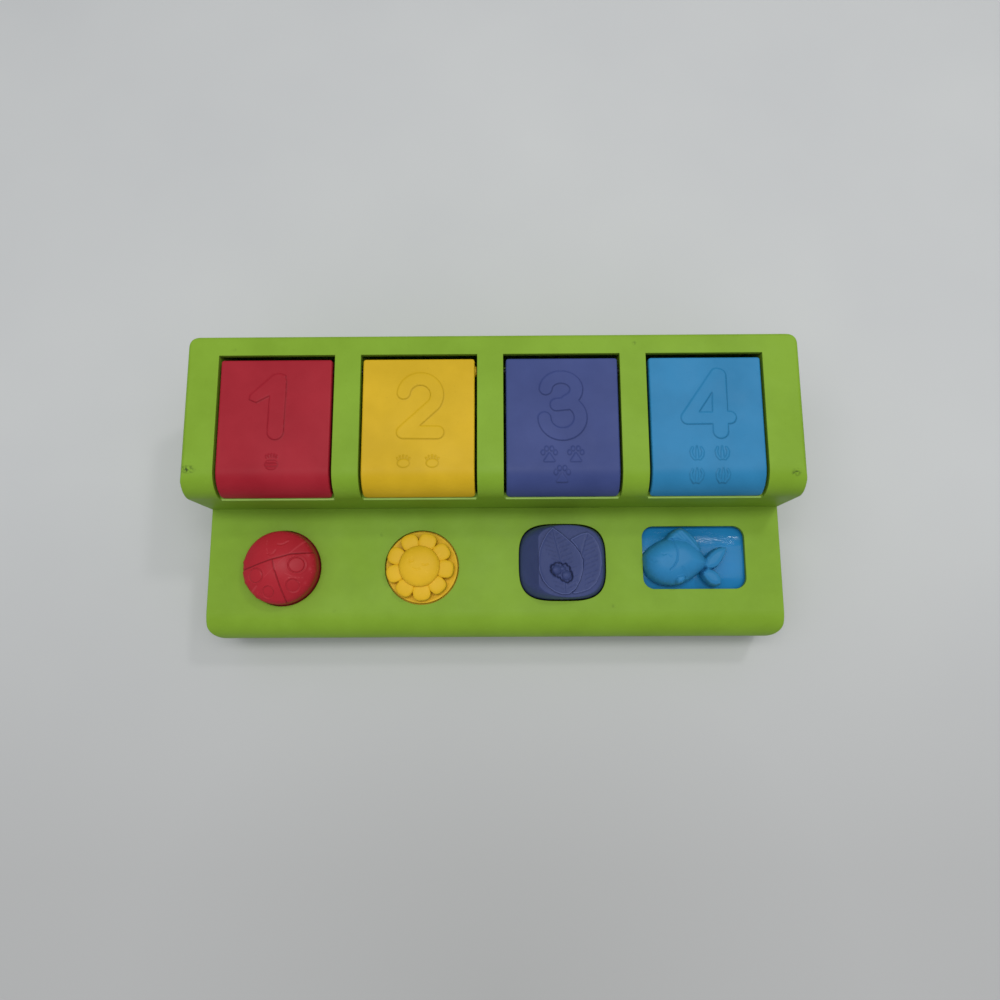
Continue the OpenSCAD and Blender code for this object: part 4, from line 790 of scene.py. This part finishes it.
def build_rocker():
    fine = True
    end = ROCKER_Y - 0.003
    ys = ROCKER_Y * np.sin(np.linspace(-math.pi / 2, math.pi / 2, 150 if fine else 50))
    ys = np.where(np.abs(ys) > end, np.sign(ys) * end, ys)
    face_phi = np.radians(np.linspace(-57, 57, 300 if fine else 90))
    side = np.radians(np.linspace(59, 118, 30 if fine else 12))
    phi = np.concatenate([-side[::-1], face_phi, side])
    y, p = np.meshgrid(ys, phi, indexing="ij")
    barrel = np.sqrt(rocker_half(y) ** 2 + 49.0)
    flat = 14.5 / np.maximum(np.cos(p), 0.05)
    rho = smooth_min(flat, barrel, 0.55)
    # the left flank falls away sooner than the barrel
    turned = p + math.radians(57.8)
    flank = np.where(np.abs(turned) < 1.2, 21.5 / np.maximum(np.cos(turned), 0.3), 99.0)
    rho = smooth_min(rho, flank, 0.4)
    x = rho * np.sin(p)
    on_face = smooth_step(np.minimum(barrel, flank) - flat, 0.1, 0.9)
    d1, d2 = inside(x, y, LEAF1), inside(x, y, LEAF2)
    lift = 0.55 * smooth_step(d2, -0.15, 0.3) + 0.22 * bell(d2 - 0.5, 0.4)
    first = 0.85 * smooth_step(d1, -0.15, 0.3) + 0.26 * bell(d1 - 0.55, 0.42)
    rib1 = path_dist(x, y, RIB1)
    in1, in2 = smooth_step(d1, 0.5, 1.3), smooth_step(d2, 0.5, 1.3)
    first -= 0.20 * bell(rib1, 0.3) * in1
    fade = 0.75 + 0.25 * np.sin(1.7 * x + 2.3 * np.sin(0.9 * y))
    veins = np.zeros(x.shape)
    for t in np.linspace(13.5, -14.5, 13):
        bx = np.interp(t, [q[1] for q in RIB1[::-1]], [q[0] for q in RIB1[::-1]])
        right = seg(x, y, (bx + 1.0, t), (bx + 6.0 + math.sin(7 * t), t + 2.2))
        left = seg(x, y, (bx - 1.2, t), (bx - 5.2 - math.sin(5 * t), t + 1.5))
        veins = np.maximum.reduce([veins, bell(right, 0.26), bell(left, 0.26)])
    first -= 0.17 * veins * in1 * fade
    veins2 = np.zeros(x.shape)
    for t in np.linspace(11.5, -13.5, 11):
        vein = seg(x, y, (8.2, t - 1.2), (14.6 + math.sin(6 * t), t + 1.6))
        veins2 = np.maximum(veins2, bell(vein, 0.28))
    rib2 = path_dist(x, y, RIB2)
    lift += (-0.20 * veins2) * in2 * fade + 0.22 * bell(rib2, 0.4) * in2
    relief = np.where(d1 > -0.15, np.maximum(first, 0.2 * smooth_step(d1, -0.15, 0.3)), lift)
    # the berries stand in a nest with a scalloped rim cut into the leaf
    scallop = np.abs(np.cos(6 * np.arctan2(y + 6.0, x + 4.4)))
    nest = inside(x, y, NEST[:-1]) + 0.45 * scallop - 0.25
    wall = np.abs(nest)
    relief -= 0.35 * smooth_step(nest, 0.0, 0.5) + 0.9 * bell(wall, 0.34)
    berry = np.zeros(x.shape)
    for bx, by, br in BERRIES:
        berry = np.maximum(berry, np.sqrt(np.maximum(br * br - (x - bx) ** 2 - (y - by) ** 2, 0)))
    relief = np.where(berry > 0.4, np.maximum(relief, berry * 0.85 + 0.1), relief)
    relief += (0.035 * np.sin(5.1 * x + 3.3 * np.sin(2.9 * y)) * np.sin(4.7 * y + 2.1 * np.sin(3.1 * x))
               * (berry == 0))
    # painted shade in the nest wall, along the leaf outlines and in the veins; pale is a painted highlight on
    # the leaf rims
    edge2 = np.where(d1 < -0.3, d2, 9)
    dark = np.maximum(1.2 * bell(wall, 0.3), 0.3 * bell(d1 + 0.25, 0.25)) * (berry < 0.8)
    dark = np.maximum(dark, 0.28 * bell(edge2 + 0.25, 0.25))
    dark = np.maximum(dark, 0.28 * np.maximum(veins * in1 * (nest < 0), veins2 * in2 * (d1 < 0)) * fade)
    pale = np.maximum(bell(d1 - 0.42, 0.24), bell(edge2 - 0.42, 0.24))
    dark = np.where(dark < 0.2, dark - 0.55 * pale, dark) * (on_face > 0.5)
    rho = rho + relief * on_face * np.cos(np.clip(p, -1.2, 1.2)) ** -1 * (np.abs(p) < 1.1)
    lx, lz = rho * np.sin(p), rho * np.cos(p)
    inner = rho - 2.2
    ix, iz = inner * np.sin(p) * 0.96, inner * np.cos(p)
    iy = y * 0.93

    def place(px, py, pz):
        s, c = sin_cos(12)
        return np.stack([LEAF[0] + px * c + pz * s, LEAF[1] + py, LEAF[2] - px * s + pz * c], -1)

    shape = Shape().add(*sheet(place(lx, y, lz), place(ix, iy, iz)))
    # arm, its round end, and the hub on the pin
    hub = [(PIN_BORE, -3.0), (3.7, -3.0), (3.9, -2.8), (3.9, 2.8), (3.7, 3.0), (PIN_BORE, 3.0),
           (PIN_BORE, -3.0)]
    for v, f in (brick((-1.8, -3, -11.5), (1.8, 3, 12.2), 0.4), rod(2.5, 6.0, (0, -3, -12.0), "y"),
                 lathe(hub, (0, 0, 0), 40, "y")):
        shape.add(place(v[:, 0], v[:, 1], v[:, 2]), f)
    make("leaf_rocker_shell", shape.verts(), shape.f, MAT["leaf"], "rocker", ["leaf_rocker"],
         shade_angle=60, groove=dark.ravel())


build_rocker()


# ---- fish on its plate ----

FISH_BODY = [(-27.2, -0.4), (-26.7, 1.7), (-24.2, 4.8), (-19.3, 8.0), (-15.1, 9.8), (-10.8, 10.7),
             (-7.2, 10.5), (-3.5, 9.5), (0.0, 7.3), (2.5, 4.7), (4.4, 1.5), (5.8, -1.6), (6.2, -4.2),
             (4.5, -6.5), (0.2, -9.7), (-3.6, -12.2), (-8.3, -14.4), (-13.0, -14.9), (-17.7, -14.4),
             (-21.8, -12.7), (-24.8, -10.0), (-26.7, -6.1)]
DORSAL = [(-15.4, 8.4), (-14.8, 10.2), (-12.8, 12.7), (-9.8, 14.7), (-6.9, 15.5), (-3.9, 13.6), (0.1, 9.8),
          (2.9, 5.1), (3.2, 2.4), (0.4, 1.2), (-6.0, 6.4)]
TAIL_UP = [(4.2, -4.9), (5.0, -0.8), (7.6, 2.2), (10.3, 4.1), (13.5, 5.2), (16.9, 4.7), (15.9, 1.5),
           (13.8, -2.2), (11.6, -5.0), (9.2, -6.4), (5.6, -6.8)]
TAIL_LOW = [(2.9, -8.0), (5.6, -6.0), (9.2, -6.9), (11.7, -8.7), (12.9, -11.5), (12.6, -14.6), (9.7, -15.4),
            (6.7, -14.5), (4.5, -12.4), (3.0, -10.1)]
PECTORAL = [(-11.8, -9.9), (-8.8, -9.3), (-6.3, -9.9), (-6.4, -12.2), (-8.0, -14.0), (-10.6, -14.6),
            (-12.0, -12.6)]
GILL = [(-12.4, 9.2), (-12.1, 7.6), (-11.0, 4.3), (-10.4, 1.2), (-10.9, -2.4), (-12.5, -5.2), (-14.6, -7.3)]
SPARKLE = [(-1.0, 15.6), (6.2, 15.1), (10.4, 13.6), (14.6, 11.5), (18.7, 9.8), (20.8, 8.5)]


def height_slab(cx, cy, x0, x1, y0, y1, step, top, floor_at):
    """Height field over a rectangle; cells whose height is below floor_at(x) drop to it."""
    xs = np.linspace(x0, x1, int((x1 - x0) / step) + 1)
    ys = np.linspace(y0, y1, int((y1 - y0) / step) + 1)
    y, x = np.meshgrid(ys, xs, indexing="ij")
    z, bottom = top(x, y), floor_at(x)
    keep = z > bottom + 1e-3
    z = np.maximum(z, bottom)
    n, m = x.shape
    q = grid_faces(n, m)
    used = keep.ravel()[q].any(1)
    q = q[used]
    ids, inv = np.unique(q, return_inverse=True)
    pts = np.stack([cx + x, cy + y, z], -1).reshape(-1, 3)[ids]
    return pts, [tuple(f) for f in inv.reshape(-1, 4)]


def puff(d, w, h, power=0.5):
    """Rounded height of a form at the inside distance d: steep at the rim, level past w."""
    t = np.clip(d / w, 0, 1)
    return h * (1 - (1 - t) ** 2) ** power


def fish_height(x, y):
    low = LEDGE_H + 0.6
    body_d = inside(x, y, FISH_BODY)
    base = low + 0.9
    body = np.where(body_d > 0, low + puff(body_d, 9.5, 8.8), -9)
    # cheek ahead of the gill line, body behind it
    gx = np.interp(y, [p[1] for p in GILL[::-1]], [p[0] for p in GILL[::-1]])
    body += (0.35 * smooth_step(gx - x, -0.2, 0.5)) * (body_d > 0.8)
    body += cut(path_dist(x, y, GILL), 0.4, 0.55)
    body += cut(path_dist(x, y, [(-18.7, 1.2), (-17.7, 0.5), (-16.5, 1.0)]), 0.34, 0.3)
    body += cut(path_dist(x, y, [(-15.2, 0.9), (-14.3, 0.0), (-13.7, -0.6)]), 0.34, 0.28)
    body += cut(path_dist(x, y, [(-24.4, -2.3), (-23.2, -3.1), (-21.8, -3.0)]), 0.36, 0.3)
    body += 0.22 * bell(np.hypot(x + 17.2, y - 0.1), 0.7)
    body += cut(path_dist(x, y, [(-8.2, -6.2), (-7.0, -8.0), (-5.6, -11.0)]), 0.5, 0.28)
    fin_d = inside(x, y, DORSAL)
    ray = 0.22 * np.cos(2.1 * (x * 0.75 + y * 0.66))
    fin = np.where(fin_d > 0, base + puff(fin_d, 2.6, 5.4) + ray * smooth_step(fin_d, 0.6, 1.5), -9)
    fin += cut(path_dist(x, y, [(-3.8, 11.4), (-1.0, 7.8), (1.6, 3.8)]), 0.4, 0.35)
    pec_d = inside(x, y, PECTORAL)
    pec = np.where(pec_d > 0, low + 4.6 + puff(pec_d, 2.0, 3.6), -9)
    tail = np.full(x.shape, -9.0)
    for lobe in (TAIL_UP, TAIL_LOW):
        d = inside(x, y, lobe)
        lobe_top = low + 0.2 + puff(d, 1.1, 4.4) + 0.5 * smooth_step(d, 0.8, 2.6)
        tail = np.maximum(tail, np.where(d > 0, lobe_top, -9))
    return np.maximum.reduce([body, fin, pec, tail])


def build_fish():
    step = 0.27
    # the tail stays over the ledge, which it passes as the fish slides
    pts, faces = height_slab(FISH[0], FISH[1], -29, 18, -17, 17, step, fish_height,
                             lambda x: np.where(x > 3, LEDGE_H + 0.4, LEDGE_H - 1.2))
    shape = Shape().add(pts, faces)
    ob = make("fish_form", shape.verts(), shape.f, MAT["fish"], "fish", ())
    sm = ob.modifiers.new("soften", "SMOOTH")
    sm.factor, sm.iterations = 0.5, 2


def plate_height(x, y):
    """Crowned plate with small water ripples along its back."""
    edge_z, half, rise = 34.9, 18.6, 2.2
    crown_r = (half * half + rise * rise) / (2 * rise)
    z = edge_z + rise - crown_r + np.sqrt(crown_r ** 2 - np.minimum(np.abs(y), half) ** 2)
    wob = (np.sin(2.6 * x + 1.4 * y + 2.2 * np.sin(1.7 * y - 0.9 * x))
           * np.sin(2.9 * y - 0.8 * x + 1.9 * np.sin(2.3 * x + 0.7)))
    wob += (0.7 * np.sin(4.7 * x - 3.1 * y + 2.3 * np.sin(2.7 * y))
            * np.sin(4.4 * y + 1.7 * x + 1.1 * np.sin(3.3 * x)))
    calm = np.maximum(smooth_step(y, 5.5, 9.5) * smooth_step(22.0 - x, 0.0, 6.0) * 0.25,
                      0.3 * smooth_step(-y, 12.5, 15.0) * smooth_step(6 - x, 0, 6))
    band = np.maximum(calm, 1 - smooth_step(path_dist(x, y, SPARKLE), 1.0, 2.6))
    left = path_dist(x, y, [(-18.5, 14.0), (-13.0, 15.6)])
    band = np.maximum(band, 0.8 * (1 - smooth_step(left, 0.8, 2.2)))
    return z + 0.13 * wob * band


def build_plate():
    step = 0.33
    x0, x1 = 63.3 - FISH[0], 134.1 - FISH[0]
    xs = np.linspace(x0, x1, int((x1 - x0) / step) + 1)
    half, low = 19.6, 32.5
    ys = np.linspace(-half, half, int(2 * half / step) + 1)
    y, x = np.meshgrid(ys, xs, indexing="ij")
    top = np.stack([FISH[0] + x, FISH[1] + y, plate_height(x, y)], -1)
    bottom = np.stack([FISH[0] + x, FISH[1] + y, low + 0 * x], -1)
    shape = Shape().add(*sheet(top, bottom))
    shape.add(*brick((LANE[3] - 6, FISH[1] + 18.6, low), (LANE[3] + 8, 0.8, 34.9), 0.3))
    shape.add(*rod(8.0, 7.0, (FISH[0] - 12, FISH[1] - 2, 34.2)))
    arm_front = FISH[1] + half + 2 + 0.6
    for dy in (2.8, 8.4):
        shape.add(*rod(2.0, 3.3, (LANE[3] + 1, arm_front + dy, 29.4), steps=32))
    shape.add(*brick((FISH[0] + 3, FISH[1] - 4, 22.5), (FISH[0] + 5.5, FISH[1] + 4, 32.7), 0.3))
    make("fish_plate", shape.verts(), shape.f, MAT["plate"], "fish", ["fish_slider"],
         shade_angle=50)


build_fish()
build_plate()
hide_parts("ladybug_button")


# ---- the four animals ----

def blob(shape, c, r, scale=(1, 1, 1), rings=24, steps=36):
    """Ellipsoid at c, in a figure's own frame: standing up, back to +Y, hinge axis at the origin."""
    t = np.linspace(0, math.pi, rings)
    prof = [(r * math.sin(a), r * math.cos(a)) for a in t]
    prof = [(0.0 if i in (0, len(prof) - 1) else p, q) for i, (p, q) in enumerate(prof)]
    v, f = lathe(prof, (0, 0, 0), steps)
    shape.add(v * np.asarray(scale) + np.asarray(c, float), f)


def stow(v, lane):
    """Lays a standing figure down under its closed lid."""
    v = np.asarray(v, float)
    v = np.stack([v[:, 0] + lane, -v[:, 2] + HINGE_Y, v[:, 1] + HINGE_Z], 1)
    v[:, 2] = np.minimum(v[:, 2], BOX_H - LID_T - 0.02)
    return v


def figure_piece(name, shape, mat, i, nodes=(), voxel=0.0):
    """Piece of the animal on lid i; a voxel size welds its blobs into one skin."""
    ob = make(name, stow(shape.verts(), LANE[i]), shape.f, mat, f"{HUES[i]}_lid", nodes)
    if voxel:
        rm = ob.modifiers.new("weld", "REMESH")
        rm.mode, rm.voxel_size, rm.use_smooth_shade = "VOXEL", voxel * MM, True
        sm = ob.modifiers.new("soften", "SMOOTH")
        sm.factor, sm.iterations = 0.5, 10


# Y of a figure's middle, with its hinge axis at 0
FY = -8.0


def body_parts(shape, ears):
    blob(shape, (0, FY, 17), 12.5, (1, 1, 1.02))
    blob(shape, (0, FY, 33), 12.0)
    for s in (-1, 1):
        blob(shape, (s * 11, FY - 5, 21), 4.2, (1, 1.1, 1.25))
        blob(shape, (s * 7, FY - 8, 8.5), 5.0, (1, 1.15, 0.95))
    ears(shape)


def eyes(i, name, gap=4.4, up=2.5, r=1.5):
    s = Shape()
    for side in (-1, 1):
        blob(s, (side * gap, FY - 10.4, 33 + up), r, rings=14, steps=20)
    figure_piece(f"{name}_eyes", s, MAT["black"], i)


def build_animals():
    voxel = 0.55
    # bear
    s = Shape()
    body_parts(s, lambda q: [blob(q, (e * 8.5, FY + 3, 42), 4.2, (1, 0.8, 1)) for e in (-1, 1)])
    figure_piece("bear_body", s, MAT["bear"], 0, ["bear_figure"], voxel)
    s = Shape()
    blob(s, (0, FY - 10.6, 30), 4.7, (1.05, 0.95, 0.85))
    blob(s, (0, FY - 10.6, 18), 7.2, (1, 0.42, 1.1))
    for e in (-1, 1):
        blob(s, (e * 8.6, FY + 0.6, 42.2), 2.5, (1, 0.7, 1), 16, 24)
    figure_piece("bear_muzzle", s, MAT["bear_pale"], 0)
    s = Shape()
    blob(s, (0, FY - 15.0, 31.6), 1.7, (1.2, 0.7, 0.85), 16, 24)
    figure_piece("bear_nose", s, MAT["black"], 0)
    eyes(0, "bear")
    # elephant
    s = Shape()
    body_parts(s, lambda q: [blob(q, (e * 13.5, FY + 2.6, 34), 8.5, (1, 0.28, 1.0)) for e in (-1, 1)])
    for k in np.linspace(0, 1, 14):
        blob(s, (0, FY - 11.0 - 1.6 * math.sin(k * 2.4), 31.5 - 14.5 * k), 3.4 - 1.15 * k, rings=14, steps=22)
    figure_piece("elephant_body", s, MAT["elephant"], 1, ["elephant_figure"], voxel)
    s = Shape()
    for e in (-1, 1):
        blob(s, (e * 14.2, FY + 1.1, 34), 6.0, (0.9, 0.22, 0.95), 18, 28)
    figure_piece("elephant_ears", s, MAT["elephant_pale"], 1)
    eyes(1, "elephant", 5.2, 3.0, 1.4)
    # cat
    s = Shape()

    def cat_ears(q):
        for e in (-1, 1):
            for k in np.linspace(0, 1, 10):
                blob(q, (e * (7 + 2.3 * k), FY + 2, 40 + 7.0 * k), 4.3 * (1 - k) + 0.8, (1, 0.62, 1), 12, 20)
    body_parts(s, cat_ears)
    figure_piece("cat_body", s, MAT["cat"], 2, ["cat_figure"], voxel)
    s = Shape()
    for e in (-1, 1):
        blob(s, (e * 2.0, FY - 10.9, 29.8), 3.0, (1, 0.95, 0.85), 18, 26)
    blob(s, (0, FY - 10.5, 18), 7.0, (0.95, 0.42, 1.15))
    figure_piece("cat_muzzle", s, MAT["cat_pale"], 2)
    s = Shape()
    blob(s, (0, FY - 13.4, 31.6), 1.2, (1.2, 0.7, 0.8), 14, 20)
    figure_piece("cat_nose", s, MAT["black"], 2)
    eyes(2, "cat")
    # duck
    s = Shape()

    def tuft(q):
        for k in (-1, 0, 1):
            blob(q, (k * 1.5, FY + 0.3, 44.4 + 1.0 * (k == 0)), 1.6, (0.8, 0.8, 1.5), 12, 20)
    body_parts(s, tuft)
    figure_piece("duck_body", s, MAT["duck"], 3, ["duck_figure"], voxel)
    s = Shape()
    blob(s, (0, FY - 12.6, 30.9), 5.2, (1.1, 1.0, 0.30))
    blob(s, (0, FY - 12.0, 29.1), 4.6, (1.0, 0.95, 0.26))
    figure_piece("duck_bill", s, MAT["bill"], 3)
    eyes(3, "duck")


build_animals()


# ---- springs ----

def wire_piece(name, path, r, body, nodes=()):
    v, f = tube(path, r)
    return make(name, v, f, MAT["steel"], body, nodes)


def spring(name, start, axis, r, wire, length, turns, joint, keep, anchor):
    """Compression spring laid from start along the axis, at its full length."""
    p = coil_path(r, wire, length, turns)
    if axis[2]:
        pts = p * [1, 1, axis[2]]
    elif axis[1]:
        pts = p[:, [0, 2, 1]] * [1, axis[1], 1]
    else:
        pts = p[:, [2, 0, 1]] * [axis[0], 1, 1]
    ob = wire_piece(f"{name}_wire", pts + np.asarray(start, float), wire, "housing", [name])
    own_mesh(ob)


# radius, wire, length and turns of a latch spring, the height of its axis, and half its plate's window
LATCH_COIL, LATCH_Z, WINDOW_HALF = (2.4, 0.4, 11.2, 5), 9.5, 8.7
spring("button_spring", (BUG[0], BUG[1], 3.7), (0, 0, 1), 6.65, 0.5, 27.5, 6, "button_press", 0.779,
       (BUG[0], BUG[1], 3.7))
for name, at, joint in (("button_latch_spring", BUG, "push_latch_slide"),
                        ("dial_latch_spring", FLOWER, "turn_latch_slide")):
    front = at[1] - WINDOW_HALF - 8.2
    spring(name, (at[0], front, LATCH_Z), (0, -1, 0), *LATCH_COIL, joint, 0.638,
           (at[0], front - LATCH_COIL[2], LATCH_Z))
spring("rocker_latch_spring", (LEAF[0] + 12.5, LEAF[1] + 15, LATCH_Z), (1, 0, 0), *LATCH_COIL,
       "flip_latch_slide", 0.55, (LEAF[0] + 12.5 + LATCH_COIL[2], LEAF[1] + 15, LATCH_Z))
spring("fish_spring", (FISH[0] + 5.5, FISH[1], 26.5), (1, 0, 0), 2.4, 0.4, 28.0, 7, "fish_slide", 0.532,
       (FISH[0] + 33.5, FISH[1], 26.5))


def lid_spring(i):
    """Torsion spring: the coil and its leg at the rib stay, the leg under the lid moves with it."""
    hue, lane = HUES[i], LANE[i]
    mean, wire, turns = 2.0, 0.35, 4
    pitch = 2 * wire + 0.12
    x0 = lane + 22.5 - 2 - turns * pitch
    n = 120
    a = np.arange(n + 1) / n * (turns + 0.25) * 2 * math.pi
    x = x0 + pitch * a / (2 * math.pi)
    path = np.stack([x, HINGE_Y + mean * np.sin(a), HINGE_Z + mean * np.cos(a)], 1)
    # the standing leg is bent in where the back edge of the open lid comes down beside it
    down = np.linspace(0.5, HINGE_Z - 63.0, 30)
    bend = smooth_step(down, 0.5, 4.8) * (1 - smooth_step(down, 6.3, 9.0))
    leg = np.stack([0 * down + x[-1], HINGE_Y + mean - 0.9 * bend, HINGE_Z - down], 1)
    wire_piece(f"{hue}_lid_spring_coil", np.concatenate([path, leg]), wire, "housing", [f"{hue}_lid_spring"])
    arm = [[x0, HINGE_Y + 0.4 - d, HINGE_Z + mean + 0.12 * math.sin(d / 12 * math.pi)]
           for d in np.linspace(0, 12, 12)]
    wire_piece(f"{hue}_lid_spring_leg", arm, wire, f"{hue}_lid")


for lid_index in range(4):
    lid_spring(lid_index)


# ---- CAD pieces that keep their solids ----

def dress(name, mat):
    ob = NODES[name]
    ob.data.materials.clear()
    ob.data.materials.append(mat)


dress("top_housing", MAT["green"])
dress("base_plate", MAT["base"])
dress("case_screws", MAT["screw"])
for hue in HUES:
    dress(f"{hue}_hinge_pin", MAT["pin"])
    dress(f"{hue}_lid_catch", MAT["nylon"])
dress("rocker_pin", MAT["pin"])
for name in ("fish_latch", "button_latch", "dial_latch", "rocker_latch"):
    dress(name, MAT["grey"])


# ---- sill lips under the lids, in a paler green as a painted highlight on the sill edge ----

for hue, lane in zip(HUES, LANE):
    verts, faces = brick((lane - 27.9, -6.8, 70.9), (lane + 27.9, -5.6, 71.9), 0.3, 3)
    make(f"{hue}_sill_lip", verts, faces, MAT["lip"], "housing")


# ---- floor, light and camera ----

def floor_material():
    m, t, bsdf, coords = new_material("pale_table")
    tone = ramp(t, noise(t, coords, 6.0, 3.0), 0.3, 0.7, 0.0, 1.0)
    col = mix(t, tone, rgb(197, 198, 198), rgb(202, 203, 202))
    split = t.nodes.new("ShaderNodeSeparateXYZ")
    t.links.new(coords, split.inputs[0])
    # painted shade: the floor darker towards the front, and a painted shadow in the middle in front of the
    # toy
    near = ramp(t, split.outputs["Y"], 0.02, -0.20, 0.0, 1.0)
    col = mix(t, near, col, rgb(186, 186, 185))
    shade = spot_mask(t, coords, (0.0, -0.27, 0.0), 0.2)
    col = mix(t, times(t, shade, 0.6), col, rgb(170, 170, 168))
    t.links.new(col, bsdf.inputs["Base Color"])
    bsdf.inputs["Roughness"].default_value = 0.75
    bsdf.inputs["Specular IOR Level"].default_value = 0.2
    return m


floor_mesh = bpy.data.meshes.new("floor")
corners = [(-3, -3), (3, -3), (3, 3), (-3, 3)]
floor_mesh.from_pydata([(x, y, -0.2 * MM) for x, y in corners], [], [(0, 1, 2, 3)])
floor = bpy.data.objects.new("floor", floor_mesh)
floor.data.materials.append(floor_material())
bpy.context.scene.collection.objects.link(floor)


def area_light(name, place, target, size, power, colour=(1, 1, 1)):
    data = bpy.data.lights.new(name, "AREA")
    data.shape = "RECTANGLE"
    data.size, data.size_y = size
    data.energy = power
    data.color = colour
    ob = bpy.data.objects.new(name, data)
    ob.location = place
    ob.rotation_euler = (Vector(target) - Vector(place)).to_track_quat("-Z", "Y").to_euler()
    bpy.context.scene.collection.objects.link(ob)


area_light("lamp", (0.0, 0.16, 1.5), (0, 0, 0), (0.9, 0.22), 4.5, (1.0, 0.995, 0.985))
area_light("ceiling", (0.0, 0.01, 1.25), (0, 0, 0), (1.6, 0.6), 5.8, (0.98, 0.99, 1.0))
area_light("room", (0.0, -1.2, 0.9), (0, 0, 0.03), (1.0, 0.7), 0.4, (0.99, 1.0, 0.99))
area_light("glint", (0.39, 0.38, 0.92), (0.12, -0.02, 0.04), (0.09, 0.09), 1.2)

world = bpy.data.worlds.new("studio")
world.use_nodes = True
sky = world.node_tree.nodes["Background"]
sky.inputs["Color"].default_value = (0.93, 0.96, 1.0, 1)
sky.inputs["Strength"].default_value = 0.42
bpy.context.scene.world = world

# place, turn and focal length (a share of the image width) from the fit to the photograph
FOCAL = 0.751
camera = bpy.data.objects.new("camera", bpy.data.cameras.new("camera"))
camera.data.sensor_width = 36.0
camera.data.lens = camera.data.sensor_width * FOCAL
camera.data.clip_start = 0.01
camera.location = (0.005302, -0.070938, 0.436708)
camera.rotation_mode = "ZYX"
camera.rotation_euler = (math.radians(9.91), math.radians(0.312), math.radians(-0.318))
bpy.context.scene.collection.objects.link(camera)
bpy.context.scene.camera = camera
bpy.context.scene.view_settings.view_transform = "Standard"
